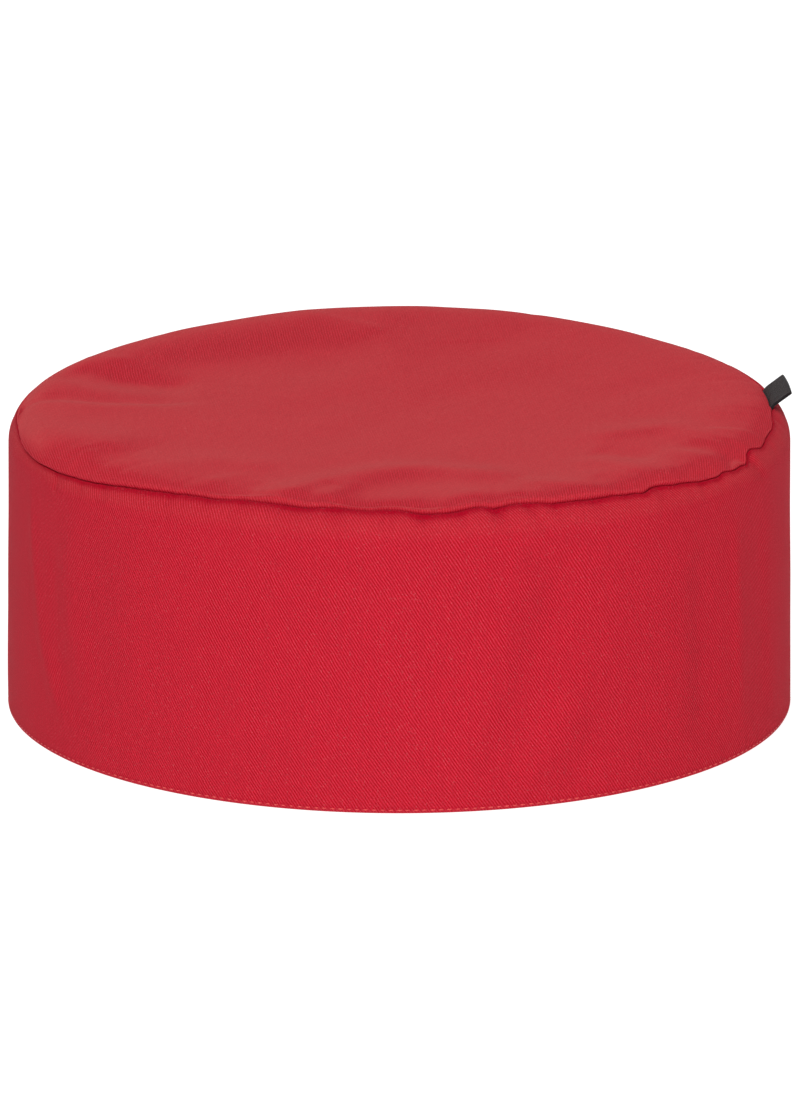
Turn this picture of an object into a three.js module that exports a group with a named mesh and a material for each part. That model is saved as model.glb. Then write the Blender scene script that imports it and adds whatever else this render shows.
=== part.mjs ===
// A chef's skull cap in red twill: a low pillbox hat of two sewn panels.
//
//   side_band    a strip of twill folded double along the rim, closed into a ring,
//                rolled over a soft shoulder at the top and turned in at the crown seam
//   crown_panel  the round top, dished and creased, rolled down to the same seam
//   label_tab    a folded ribbon label, caught in the seam at the wearer's left
//
// Units are millimetres. +Z is up, the rim lies on Z = 0 round the origin, and the front is -Y.
// An azimuth is in degrees round +Z from the front, positive towards +X.
import * as THREE from "three";

// ---- Driving dimensions ------------------------------------------------------------------
const RIM_RADIUS = 95; // outside of the rim
const TOP_HEIGHT = 75; // crest of the shoulder above the rim
const SHOULDER_RADIUS = 9; // roll from the wall to the top
const WALL_TAPER = 0.4; // how far the wall leans in by the foot of the shoulder
const BAND_CLOTH = 1.6; // the band is folded double
const CROWN_CLOTH = 1.3;
const RIM_CHAMFER = 0.35; // soft edges of the fold at the rim

const SEAM_GAP = 0.3; // between the two panels where they are sewn
const SEAM_ALLOWANCE = 6.5; // how far both panels turn in at the seam
const BAND_ROLL = 1.1; // fold radius of the band at the seam
const CROWN_ROLL = 1.6; // fold radius of the crown at the seam
const CROWN_DISH = 2.2; // how far the middle of the crown sinks

const LABEL = {
  azimuth: 95.5, // middle of the label
  width: 15, // along the seam
  reach: 6, // out of the seam
  tail: 5, // sewn between the two panels
  ply: 0.4, // one layer of the folded ribbon
  slit: 0.16, // air between the two layers
  bend: 1.6, // length over which it bends outwards
  lean: 23, // degrees of that bend
};

const SHOULDER_BASE = TOP_HEIGHT - SHOULDER_RADIUS;
const SHOULDER_CENTRE = RIM_RADIUS - WALL_TAPER - SHOULDER_RADIUS;
const LABEL_THICKNESS = 2 * LABEL.ply + LABEL.slit;
const LABEL_GAP = LABEL_THICKNESS + 2 * SEAM_GAP;

// ---- Tables of what is sewn unevenly -----------------------------------------------------
// The seam wanders over the shoulder: inset is how far it lies inside the wall.
const SEAM_LINE = [
  { azimuth: -150, inset: 4.9 },
  { azimuth: -120, inset: 4.0 },
  { azimuth: -105, inset: 2.8 },
  { azimuth: -90, inset: 1.2 },
  { azimuth: -72, inset: 0.6 },
  { azimuth: -60, inset: 1.3 },
  { azimuth: -52, inset: 2.2 },
  { azimuth: -44, inset: 3.4 },
  { azimuth: -34, inset: 4.8 },
  { azimuth: -28, inset: 5.2 },
  { azimuth: -24, inset: 6.3 },
  { azimuth: -14, inset: 5.6 },
  { azimuth: -10, inset: 6.4 },
  { azimuth: -5, inset: 5.5 },
  { azimuth: -1, inset: 6.3 },
  { azimuth: 3, inset: 4.8 },
  { azimuth: 8, inset: 4.8 },
  { azimuth: 12, inset: 6.1 },
  { azimuth: 15, inset: 5.5 },
  { azimuth: 19, inset: 6.5 },
  { azimuth: 24, inset: 5.0 },
  { azimuth: 33, inset: 4.2 },
  { azimuth: 40, inset: 3.8 },
  { azimuth: 43, inset: 4.9 },
  { azimuth: 49, inset: 3.4 },
  { azimuth: 58, inset: 2.7 },
  { azimuth: 64, inset: 2.1 },
  { azimuth: 67, inset: 3.6 },
  { azimuth: 78, inset: 3.3 },
  { azimuth: 88, inset: 4.4 },
  { azimuth: 103, inset: 4.8 },
  { azimuth: 130, inset: 4.5 },
  { azimuth: 180, inset: 4.8 },
];

// The shoulder's crest isn't quite level: rise is how far it stands above the top's height.
const SHOULDER_CREST = [
  { azimuth: -165, rise: 0.4 },
  { azimuth: -150, rise: -0.3 },
  { azimuth: -130, rise: -0.7 },
  { azimuth: -110, rise: -0.3 },
  { azimuth: -60, rise: 0 },
  { azimuth: 60, rise: 0 },
  { azimuth: 110, rise: -0.3 },
  { azimuth: 130, rise: -0.7 },
  { azimuth: 150, rise: -0.3 },
  { azimuth: 165, rise: 0.4 },
];

// Soft folds of the wall, each a line from its upper to its lower end: width is half of the
// fold's breadth, and rise is how far it stands out, or in where it is negative.
const BAND_FOLDS = [
  { name: "front ridge, upper", azimuth: 17.5, height: 62, toAzimuth: 13.5, toHeight: 33, width: 6.5, rise: 0.75 },
  { name: "front ridge, lower", azimuth: 13.5, height: 33, toAzimuth: 6, toHeight: 5, width: 5, rise: 0.6 },
  { name: "front hollow, upper", azimuth: 22, height: 58, toAzimuth: 18, toHeight: 27, width: 6, rise: -0.7 },
  { name: "front hollow, lower", azimuth: 18, height: 27, toAzimuth: 12, toHeight: 9, width: 4.5, rise: -0.6 },
  { name: "second ridge", azimuth: 24, height: 26, toAzimuth: 18.5, toHeight: 3, width: 5, rise: 0.7 },
  { name: "right hollow", azimuth: 50, height: 58, toAzimuth: 52, toHeight: 8, width: 7, rise: -0.6 },
  { name: "right ridge", azimuth: 59, height: 60, toAzimuth: 60, toHeight: 10, width: 5.5, rise: 0.5 },
  { name: "left hollow, upper", azimuth: -60, height: 60, toAzimuth: -58, toHeight: 24, width: 4.5, rise: -0.6 },
  { name: "left hollow, lower", azimuth: -58, height: 24, toAzimuth: -50, toHeight: 6, width: 4, rise: -0.7 },
  { name: "left ridge", azimuth: -64, height: 40, toAzimuth: -56, toHeight: 5, width: 4.5, rise: 0.6 },
  { name: "left outer hollow", azimuth: -69, height: 18, toAzimuth: -62, toHeight: 5, width: 3.5, rise: -0.5 },
  { name: "dent under the shoulder, left", azimuth: -29, height: 64, toAzimuth: -12, toHeight: 59, width: 5, rise: -0.55 },
  { name: "dent under the shoulder, front", azimuth: -12, height: 59, toAzimuth: 6, toHeight: 57, width: 4.5, rise: -0.5 },
  { name: "dent under the shoulder, right", azimuth: 19, height: 63, toAzimuth: 27, toHeight: 59, width: 4.5, rise: -0.5 },
  { name: "back ease, left", azimuth: -140, height: 60, toAzimuth: -136, toHeight: 12, width: 8, rise: -0.5 },
  { name: "back ease, right", azimuth: 142, height: 58, toAzimuth: 146, toHeight: 10, width: 8, rise: -0.5 },
];

// Creases of the crown, each a line across the top in X and Y, with width and rise as above.
const CROWN_FOLDS = [
  { name: "front crest, left", x: -30, y: -77, toX: -17, toY: -58, width: 5, rise: 0.9 },
  { name: "front crest, middle", x: -17, y: -58, toX: 8, toY: -49, width: 6, rise: 1.1 },
  { name: "front crest, right", x: 8, y: -49, toX: 26, toY: -57, width: 6, rise: 0.8 },
  { name: "front hollow, left", x: -14, y: -70, toX: -8, toY: -64, width: 4.5, rise: -0.9 },
  { name: "front hollow, right", x: 2, y: -62, toX: 14, toY: -66, width: 5.5, rise: -1.1 },
  { name: "front left crest", x: -46, y: -70, toX: -34, toY: -55, width: 4.5, rise: 0.6 },
  { name: "right crest, long", x: 81, y: -32, toX: 62, toY: -21, width: 4, rise: 1.1 },
  { name: "right crest, tail", x: 62, y: -21, toX: 45, toY: -26, width: 6, rise: 0.7 },
  { name: "right hollow", x: 76, y: -40, toX: 56, toY: -37, width: 4.5, rise: -1.2 },
  { name: "right crest, short", x: 79, y: -47, toX: 54, toY: -52, width: 4, rise: 0.8 },
  { name: "right front hollow", x: 60, y: -62, toX: 45, toY: -64, width: 4, rise: -0.6 },
  { name: "left crest, back", x: -84, y: 24, toX: -69, toY: 16, width: 4, rise: 1.2 },
  { name: "left hollow", x: -84, y: 6, toX: -58, toY: 8, width: 4, rise: -1.0 },
  { name: "left crest, long", x: -90, y: -4, toX: -52, toY: -6, width: 5.5, rise: 0.7 },
  { name: "left crest, rear", x: -74, y: 45, toX: -62, toY: 38, width: 4, rise: 0.9 },
  { name: "left rear hollow", x: -66, y: 30, toX: -52, toY: 28, width: 7, rise: -1.0 },
  { name: "back crest", x: -24, y: 82, toX: 24, toY: 58, width: 5, rise: 0.7 },
  { name: "back hollow", x: -32, y: 56, toX: 20, toY: 42, width: 8, rise: -0.8 },
];

// The label's place on the seam, from the tables.
const LABEL_SEAM_RADIUS = RIM_RADIUS - readRound(SEAM_LINE, "inset", LABEL.azimuth);
const LABEL_HALF_ANGLE = THREE.MathUtils.radToDeg(LABEL.width / 2 / LABEL_SEAM_RADIUS);
const SEAM_CLOSING = 5; // degrees past the label over which the seam closes

// ---- Where the sections and rings stand --------------------------------------------------
// Stretches of sections round the hat: closer in front, where most folds are, and with one at
// each end of the label.
const STRETCHES = [
  { name: "front", end: 75, sections: 50 },
  { name: "front to label", end: LABEL.azimuth - LABEL_HALF_ANGLE, sections: 3 },
  { name: "label", end: LABEL.azimuth + LABEL_HALF_ANGLE, sections: 2 },
  { name: "back", end: 285, sections: 37 },
];
const WALL_HEIGHTS = [3, 9, 17, 26, 35, 44, 52, 59]; // outer face of the band, without its ends
const INNER_HEIGHTS = [56, 38, 20]; // inner face, from the top down
const CROWN_RINGS = [0.16, 0.32, 0.46, 0.58, 0.68, 0.77, 0.85, 0.92]; // shares of the flat part
const CROWN_INNER_RINGS = [0.92, 0.77, 0.58, 0.32]; // underside, from the edge in
const CREST_MARGIN = THREE.MathUtils.degToRad(4); // least turn from the crest to the crown's roll

const rad = THREE.MathUtils.degToRad;
const smooth = (t) => THREE.MathUtils.smoothstep(t, 0, 1);

// The azimuths of the sections.
function stations() {
  const list = [];
  let start = STRETCHES.at(-1).end - 360;
  for (const { end, sections } of STRETCHES) {
    for (let i = 0; i < sections; i++) list.push(THREE.MathUtils.lerp(start, end, i / sections));
    start = end;
  }
  return list;
}

// The difference between two azimuths, from -180 to 180.
function turn(from, to) {
  return THREE.MathUtils.euclideanModulo(to - from + 180, 360) - 180;
}

// A column of a table with an azimuth column, read at any azimuth on a smooth closed curve.
function readRound(rows, column, azimuth) {
  const n = rows.length;
  const wrapped = rows[0].azimuth + THREE.MathUtils.euclideanModulo(azimuth - rows[0].azimuth, 360);
  const next = rows.findIndex((row) => row.azimuth > wrapped);
  const i = (next < 0 ? n : next) - 1;
  const at = (k) => ({
    a: rows[(k + n) % n].azimuth + 360 * Math.floor(k / n),
    v: rows[(k + n) % n][column],
  });
  const [p, q, r, s] = [at(i - 1), at(i), at(i + 1), at(i + 2)];
  const span = r.a - q.a;
  const t = (wrapped - q.a) / span;
  const slopeQ = ((r.v - p.v) / (r.a - p.a)) * span;
  const slopeR = ((s.v - q.v) / (s.a - q.a)) * span;
  return (
    q.v * (2 * t ** 3 - 3 * t ** 2 + 1) +
    slopeQ * (t ** 3 - 2 * t ** 2 + t) +
    r.v * (3 * t ** 2 - 2 * t ** 3) +
    slopeR * (t ** 3 - t ** 2)
  );
}

// How far a point lies from a line segment, both in the plane.
function distanceToSegment(px, py, ax, ay, bx, by) {
  const [dx, dy] = [bx - ax, by - ay];
  const along = THREE.MathUtils.clamp(((px - ax) * dx + (py - ay) * dy) / (dx * dx + dy * dy), 0, 1);
  return Math.hypot(px - ax - along * dx, py - ay - along * dy);
}

const bell = (distance, width) => Math.exp(-((distance / width) ** 2));

// How far the wall stands out at a place, from all its folds.
function bandRise(azimuth, height) {
  const arc = rad(1) * RIM_RADIUS;
  let rise = 0;
  for (const fold of BAND_FOLDS) {
    const start = turn(azimuth, fold.azimuth) * arc;
    const end = start + (fold.toAzimuth - fold.azimuth) * arc;
    const distance = distanceToSegment(0, height, start, fold.height, end, fold.toHeight);
    rise += fold.rise * bell(distance, fold.width);
  }
  return rise * smooth(height / 9); // the folded rim is stiff
}

// How far the crown rises at a place, from its dish and all its creases.
function crownRise(x, y) {
  const share = Math.hypot(x, y) / SHOULDER_CENTRE;
  let rise = -CROWN_DISH * Math.max(0, 1 - share ** 2) ** 1.5;
  for (const fold of CROWN_FOLDS) {
    rise += fold.rise * bell(distanceToSegment(x, y, fold.x, fold.y, fold.toX, fold.toY), fold.width);
  }
  return rise;
}

// The gap between the two panels, wider where the label is caught between them.
function seamGap(azimuth) {
  const past = Math.abs(turn(LABEL.azimuth, azimuth)) - LABEL_HALF_ANGLE;
  return THREE.MathUtils.lerp(LABEL_GAP, SEAM_GAP, smooth(past / SEAM_CLOSING));
}

// The centre of the shoulder's roll at an azimuth, as (radius, height).
function rollCentre(azimuth) {
  return new THREE.Vector2(SHOULDER_CENTRE, SHOULDER_BASE + readRound(SHOULDER_CREST, "rise", azimuth));
}

// The seam at an azimuth. Its plane holds the centre line of the shoulder's roll, so a place
// near the seam is centre + out * depth from the centre + across * distance from the plane.
function seamAt(azimuth) {
  const angle = Math.acos(1 - readRound(SEAM_LINE, "inset", azimuth) / SHOULDER_RADIUS);
  return {
    angle,
    centre: rollCentre(azimuth),
    out: new THREE.Vector2(Math.cos(angle), Math.sin(angle)),
    across: new THREE.Vector2(-Math.sin(angle), Math.cos(angle)), // towards the crown
    halfGap: seamGap(azimuth) / 2,
  };
}

// A point of a section, as (radius, height), from its depth and its distance from the plane.
function atSeam(seam, depth, distance) {
  return seam.centre.clone().addScaledVector(seam.out, depth).addScaledVector(seam.across, distance);
}

// A point of the shoulder's roll, at an angle above level and a radius from its centre.
function onRoll(centre, angle, radius) {
  return new THREE.Vector2(centre.x + radius * Math.cos(angle), centre.y + radius * Math.sin(angle));
}

// The fold of a panel at the seam: an arc that touches the roll and the seam's gap. side is 1
// on the crown and -1 on the band. It runs from the roll to the gap.
function seamRoll(seam, radius, side, steps) {
  const distance = seam.halfGap + radius;
  const depth = Math.sqrt((SHOULDER_RADIUS - radius) ** 2 - distance ** 2);
  const lean = Math.atan2(distance, depth); // where the arc leaves the roll
  const points = [];
  for (let i = 0; i <= steps; i++) {
    const a = lean - (lean + Math.PI / 2) * (i / steps);
    points.push(atSeam(seam, depth + radius * Math.cos(a), side * (distance + radius * Math.sin(a))));
  }
  return { points, angle: seam.angle + side * lean };
}

// Angles spaced evenly between two, without the ends.
function between(from, to, count) {
  return Array.from({ length: count }, (_, i) => from + ((to - from) * (i + 1)) / (count + 1));
}

// The band's section: a closed outline of (radius, height) points.
function bandSection(azimuth) {
  const seam = seamAt(azimuth);
  const lean = (height) => RIM_RADIUS - WALL_TAPER * (height / SHOULDER_BASE);
  const wall = (height) => lean(height) + bandRise(azimuth, height);
  const roll = seamRoll(seam, BAND_ROLL, -1, 3);
  const cut = SHOULDER_RADIUS - SEAM_ALLOWANCE; // depth at which the turned-in cloth ends
  const innerFace = seam.halfGap + BAND_CLOTH;
  const innerRadius = SHOULDER_RADIUS - BAND_CLOTH;
  const innerAngle = seam.angle - Math.asin(innerFace / innerRadius);
  // The folds die out over the shoulder, where the seam holds the cloth.
  const eased = (angle) => bandRise(azimuth, seam.centre.y) * (1 - smooth(angle / roll.angle));
  const rolled = (angle, radius) => onRoll(seam.centre, angle, radius + eased(angle));
  return [
    new THREE.Vector2(RIM_RADIUS - RIM_CHAMFER, 0),
    new THREE.Vector2(RIM_RADIUS, RIM_CHAMFER),
    ...WALL_HEIGHTS.map((height) => new THREE.Vector2(wall(height), height)),
    ...[0, ...between(0, roll.angle, 3)].map((angle) => rolled(angle, SHOULDER_RADIUS)),
    ...roll.points,
    atSeam(seam, cut, -seam.halfGap),
    atSeam(seam, cut, -innerFace),
    ...[innerAngle, innerAngle / 2, 0].map((angle) => rolled(angle, innerRadius)),
    ...INNER_HEIGHTS.map((height) => new THREE.Vector2(wall(height) - BAND_CLOTH, height)),
    new THREE.Vector2(RIM_RADIUS - BAND_CLOTH, RIM_CHAMFER),
    new THREE.Vector2(RIM_RADIUS - BAND_CLOTH + RIM_CHAMFER, 0),
  ];
}

// The crown's section from the middle of the top to the middle of the underside.
function crownSection(azimuth) {
  const seam = seamAt(azimuth);
  const roll = seamRoll(seam, CROWN_ROLL, 1, 3);
  const cut = SHOULDER_RADIUS - SEAM_ALLOWANCE;
  const innerFace = seam.halfGap + CROWN_CLOTH;
  const innerRadius = SHOULDER_RADIUS - CROWN_CLOTH;
  const [sin, cos] = [Math.sin(rad(azimuth)), -Math.cos(rad(azimuth))];
  const crestRise = seam.centre.y - SHOULDER_BASE;
  const risen = (radius) => crownRise(radius * sin, radius * cos) + crestRise * (radius / SHOULDER_CENTRE) ** 2;
  const top = (radius) => new THREE.Vector2(radius, TOP_HEIGHT + risen(radius));
  const under = (radius) => new THREE.Vector2(radius, TOP_HEIGHT + risen(radius) - CROWN_CLOTH);
  // Past the flat part the creases run out over the roll, down to the seam.
  const edge = risen(SHOULDER_CENTRE) - crestRise;
  const crest = Math.max(Math.PI / 2, roll.angle + CREST_MARGIN);
  const eased = (angle) => edge * smooth((angle - roll.angle) / (crest - roll.angle));
  return [
    ...CROWN_RINGS.map((share) => top(share * SHOULDER_CENTRE)),
    ...[crest, ...between(crest, roll.angle, 2)].map((angle) =>
      onRoll(seam.centre, angle, SHOULDER_RADIUS + eased(angle)),
    ),
    ...roll.points,
    atSeam(seam, cut, seam.halfGap),
    atSeam(seam, cut, innerFace),
    atSeam(seam, Math.sqrt(innerRadius ** 2 - innerFace ** 2), innerFace),
    ...CROWN_INNER_RINGS.map((share) => under(share * SHOULDER_CENTRE)),
  ];
}

// The label's section: a ribbon doubled over, its tail down in the seam, with a round fold.
function labelSection(azimuth) {
  const seam = seamAt(azimuth);
  const radius = LABEL.bend / rad(LABEL.lean);
  // The middle line by distance out of the seam: straight, then an arc, then straight.
  const middle = (reach) => {
    const angle = rad(LABEL.lean) * THREE.MathUtils.clamp(reach / LABEL.bend, 0, 1);
    const ahead = seam.out.clone().rotateAround(new THREE.Vector2(), -angle);
    const across = seam.across.clone().rotateAround(new THREE.Vector2(), -angle);
    const spare = reach - radius * angle;
    const point = atSeam(seam, SHOULDER_RADIUS + radius * Math.sin(angle), -radius * (1 - Math.cos(angle)));
    return { point: point.addScaledVector(ahead, spare), ahead, across };
  };
  const end = LABEL.reach - LABEL_THICKNESS / 2;
  const line = (offset, reaches) =>
    reaches.map((reach) => {
      const { point, across } = middle(reach);
      return point.addScaledVector(across, offset);
    });
  const tip = (offset, angle) => {
    const { point, ahead, across } = middle(end);
    return point.addScaledVector(across, offset * Math.cos(angle)).addScaledVector(ahead, offset * Math.sin(angle));
  };
  const outer = LABEL_THICKNESS / 2;
  const inner = LABEL.slit / 2;
  const lengths = [-LABEL.tail, 0, LABEL.bend / 2, LABEL.bend, end];
  const back = [...lengths].reverse();
  const arc = between(0, Math.PI, 5);
  return [
    ...line(outer, lengths),
    ...arc.map((angle) => tip(outer, angle)),
    ...line(-outer, back),
    ...line(-inner, lengths),
    tip(inner, Math.PI / 2),
    ...line(inner, back),
  ];
}

// ---- Meshes from sections ----------------------------------------------------------------
// Puts a section's point at its azimuth.
function place(point, azimuth) {
  return [point.x * Math.sin(rad(azimuth)), -point.x * Math.cos(rad(azimuth)), point.y];
}

// A closed mesh from rows of points and the quads and triangles that join them.
function meshOf(positions, faces) {
  const geometry = new THREE.BufferGeometry();
  geometry.setAttribute("position", new THREE.Float32BufferAttribute(positions.flat(), 3));
  geometry.setIndex(faces.flat());
  geometry.computeVertexNormals();
  return geometry;
}

// Two triangles for the cell between columns i and j and rows a and b.
function cell(i, j, a, b, count) {
  return [
    [i * count + a, j * count + a, j * count + b],
    [i * count + a, j * count + b, i * count + b],
  ];
}

// The same triangles, facing the other way.
const turned = (faces) => faces.map(([a, b, c]) => [a, c, b]);

// Closed sections joined into a ring that goes all the way round.
function ring(section, azimuths) {
  const sections = azimuths.map((azimuth) => section(azimuth).map((point) => place(point, azimuth)));
  const count = sections[0].length;
  const faces = [];
  for (let i = 0; i < sections.length; i++) {
    const j = (i + 1) % sections.length;
    for (let a = 0; a < count; a++) faces.push(...cell(i, j, a, (a + 1) % count, count));
  }
  return meshOf(sections.flat(), faces);
}

// Open sections joined all the way round, and closed by one point above and one below.
function lid(section, azimuths, topHeight, underHeight) {
  const sections = azimuths.map((azimuth) => section(azimuth).map((point) => place(point, azimuth)));
  const count = Math.min(...sections.map((points) => points.length));
  if (sections.some((points) => points.length !== count)) throw new Error("the crown's sections differ in length");
  const positions = [...sections.flat(), [0, 0, topHeight], [0, 0, underHeight]];
  const [topMiddle, underMiddle] = [positions.length - 2, positions.length - 1];
  const faces = [];
  for (let i = 0; i < sections.length; i++) {
    const j = (i + 1) % sections.length;
    for (let a = 0; a < count - 1; a++) faces.push(...turned(cell(i, j, a, a + 1, count)));
    faces.push([topMiddle, i * count, j * count]);
    faces.push([underMiddle, (j + 1) * count - 1, (i + 1) * count - 1]);
  }
  return meshOf(positions, faces);
}

// Closed sections joined along a short stretch, with both ends capped. The strip follows the
// circle of the given radius, and keeps its width inside and outside it.
function strip(section, azimuths, radius) {
  const outlines = azimuths.map(section);
  const count = outlines[0].length;
  const middle = (azimuths[0] + azimuths.at(-1)) / 2;
  const positions = outlines.flatMap((points, i) => {
    const [x, y] = place(new THREE.Vector2(radius, 0), azimuths[i]);
    return points.map((point) => {
      const [dx, dy, z] = place(new THREE.Vector2(point.x - radius, point.y), middle);
      return [x + dx, y + dy, z];
    });
  });
  const faces = [];
  for (let i = 0; i < outlines.length - 1; i++) {
    for (let a = 0; a < count; a++) faces.push(...cell(i + 1, i, a, (a + 1) % count, count));
  }
  const last = (outlines.length - 1) * count;
  for (const [a, b, c] of THREE.ShapeUtils.triangulateShape(outlines[0], [])) {
    faces.push([a, b, c], [last + a, last + c, last + b]);
  }
  return meshOf(positions, faces);
}

// ---- The pieces --------------------------------------------------------------------------
const redTwill = new THREE.MeshStandardMaterial({ color: 0xc81e33, roughness: 0.85, metalness: 0 });
const redTwillCrown = new THREE.MeshStandardMaterial({ color: 0xbe2a3a, roughness: 0.88, metalness: 0 });
const blackRibbon = new THREE.MeshStandardMaterial({ color: 0x1c1a1c, roughness: 0.6, metalness: 0 });

function named(name, geometry, material) {
  const mesh = new THREE.Mesh(geometry, material);
  mesh.name = name;
  return mesh;
}

function sideBand() {
  return named("side_band", ring(bandSection, stations()), redTwill);
}

function crownPanel() {
  const middle = TOP_HEIGHT + crownRise(0, 0);
  return named("crown_panel", lid(crownSection, stations(), middle, middle - CROWN_CLOTH), redTwillCrown);
}

function labelTab() {
  const azimuths = [-1, 0, 1].map((share) => LABEL.azimuth + share * LABEL_HALF_ANGLE);
  return named("label_tab", strip(labelSection, azimuths, LABEL_SEAM_RADIUS), blackRibbon);
}

const skullCap = new THREE.Group();
skullCap.name = "skull_cap";
skullCap.add(sideBand(), crownPanel(), labelTab());

export default skullCap;
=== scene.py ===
"""A chef's skull cap in red twill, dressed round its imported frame.

Lengths are in millimetres until a mesh is made, and azimuths in degrees round +Z from the front,
which is -Y, positive towards +X. A cloth coordinate is a place on the flat cloth, in millimetres.
"""

from __future__ import annotations

import logging
from dataclasses import dataclass
from enum import Enum

import bpy
import numpy as np
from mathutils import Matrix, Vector


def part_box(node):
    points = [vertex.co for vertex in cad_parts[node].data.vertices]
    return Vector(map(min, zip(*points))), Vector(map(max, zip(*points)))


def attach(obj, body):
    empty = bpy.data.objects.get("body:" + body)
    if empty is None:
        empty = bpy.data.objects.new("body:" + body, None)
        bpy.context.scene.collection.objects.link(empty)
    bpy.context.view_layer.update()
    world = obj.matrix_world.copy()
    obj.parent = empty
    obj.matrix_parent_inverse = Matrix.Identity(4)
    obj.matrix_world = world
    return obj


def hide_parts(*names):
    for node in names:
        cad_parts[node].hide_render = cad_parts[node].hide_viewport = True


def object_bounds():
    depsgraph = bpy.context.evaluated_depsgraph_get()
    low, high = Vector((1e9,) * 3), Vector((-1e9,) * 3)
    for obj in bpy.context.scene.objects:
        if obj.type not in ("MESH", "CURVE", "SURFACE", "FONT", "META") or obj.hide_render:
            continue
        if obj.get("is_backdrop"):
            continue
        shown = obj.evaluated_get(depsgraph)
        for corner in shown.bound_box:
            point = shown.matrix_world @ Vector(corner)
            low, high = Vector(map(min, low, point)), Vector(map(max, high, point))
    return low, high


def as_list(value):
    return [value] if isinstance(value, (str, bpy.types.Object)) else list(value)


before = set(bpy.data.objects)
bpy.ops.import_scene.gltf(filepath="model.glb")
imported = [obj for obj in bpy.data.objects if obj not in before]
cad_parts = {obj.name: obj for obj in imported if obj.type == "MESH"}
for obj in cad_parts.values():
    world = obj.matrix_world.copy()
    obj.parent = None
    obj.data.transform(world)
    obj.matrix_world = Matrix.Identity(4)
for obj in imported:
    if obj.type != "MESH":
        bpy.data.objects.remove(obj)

Array = np.ndarray
MM = 0.001
CLOTH_MAP = "cloth"  # the map that holds the cloth coordinates
WEAR = "wear"  # the attribute that says how rubbed a place is
PAINTED_SHEEN = "painted_sheen"  # the attribute that says how much painted sheen a place gets
PAINTED_SHADE = "painted_shade"  # the attribute that says how much painted shade a place gets, in seams and at the rim
LOG = logging.getLogger("skull_cap")


# ---- Small tools -------------------------------------------------------------------------
def smooth(t: Array) -> Array:
    """A soft step from 0 to 1 as t goes from 0 to 1."""
    t = np.clip(t, 0.0, 1.0)
    return t * t * (3.0 - 2.0 * t)


def ramp(value: Array | float, start: float, span: float) -> Array:
    """A soft step from 0 to 1 as a value goes on from a start over a span."""
    return smooth((value - start) / span)


def bell(distance: Array, width: Array | float) -> Array:
    """A bell-shaped curve, 1 at distance 0 and small past twice the width."""
    return np.exp(-((distance / width) ** 2))


def turn(azimuth: Array, to: float) -> Array:
    """The turn from an azimuth to another one, from -180 to 180 degrees."""
    return (to - azimuth + 180.0) % 360.0 - 180.0


def round_table(rows: tuple, column: str, azimuth: Array) -> Array:
    """Reads one column of a table that goes round the cap.

    Args:
        rows: Table rows with an azimuth, in rising order.
        column: The column to read.
        azimuth: Where to read it.

    Returns:
        The values, on a smooth closed curve through the rows.
    """
    at = np.array([row.azimuth for row in rows])
    values = np.array([getattr(row, column) for row in rows])
    count = len(rows)
    wrapped = at[0] + (azimuth - at[0]) % 360.0
    i = np.searchsorted(at, wrapped, side="right") - 1

    def knot(k: Array) -> tuple[Array, Array]:
        """The azimuth and the value of a row, where rows go on past both ends."""
        return at[k % count] + 360.0 * (k // count), values[k % count]

    (pa, pv), (qa, qv), (ra, rv), (sa, sv) = (knot(i + step) for step in (-1, 0, 1, 2))
    span = ra - qa
    return eased((wrapped - qa) / span, qv, (rv - pv) / (ra - pa) * span, rv, (sv - qv) / (sa - qa) * span)


def eased(t: Array | float, start: Array, leave: Array, end: Array, arrive: Array) -> Array:
    """A smooth curve as t goes from 0 to 1.

    Args:
        t: How far along the curve.
        start: The value it starts from.
        leave: Its slope there.
        end: The value it ends at.
        arrive: Its slope there.

    Returns:
        The values.
    """
    return (
        start * (2 * t**3 - 3 * t**2 + 1)
        + leave * (t**3 - 2 * t**2 + t)
        + end * (3 * t**2 - 2 * t**3)
        + arrive * (t**3 - t**2)
    )


def soft_path(points: tuple, steps: int = 8) -> Array:
    """A smooth open curve through some points.

    Args:
        points: Two or more points in a plane.
        steps: Stretches between two points.

    Returns:
        The curve's points, one a row.
    """
    p = np.array(points, float)
    p = np.vstack([2 * p[0] - p[1], p, 2 * p[-1] - p[-2]])
    t = np.linspace(0.0, 1.0, steps, endpoint=False)[:, None]
    out = []
    for a, b, c, d in zip(p, p[1:], p[2:], p[3:]):
        bend, twist = 2 * a - 5 * b + 4 * c - d, 3 * b - a - 3 * c + d
        out.append(0.5 * (2 * b + (c - a) * t + bend * t**2 + twist * t**3))
    return np.vstack([*out, p[-2][None]])


class Waves:
    """Gentle unevenness of a surface: a few waves in random directions, the same each time."""

    def __init__(self, seed: int, longest: float, shortest: float, count: int = 9) -> None:
        """Draws the waves.

        Args:
            seed: Picks the draw.
            longest: Longest wave, in mm.
            shortest: Shortest wave, in mm.
            count: How many waves.
        """
        rng = np.random.default_rng(seed)
        lengths = np.geomspace(longest, shortest, count)
        angles = rng.uniform(0.0, 2 * np.pi, count)
        self.kx = 2 * np.pi * np.cos(angles) / lengths
        self.ky = 2 * np.pi * np.sin(angles) / lengths
        self.start = rng.uniform(0.0, 2 * np.pi, count)
        self.size = lengths / lengths.sum()

    def at(self, x: Array, y: Array) -> Array:
        """The unevenness at some places.

        Args:
            x: First coordinate of the places.
            y: Second coordinate.

        Returns:
            The unevenness, within about -1 to 1.
        """
        total = np.zeros(np.broadcast(x, y).shape)
        for kx, ky, start, size in zip(self.kx, self.ky, self.start, self.size):
            total += size * np.sin(kx * x + ky * y + start)
        return total


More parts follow.
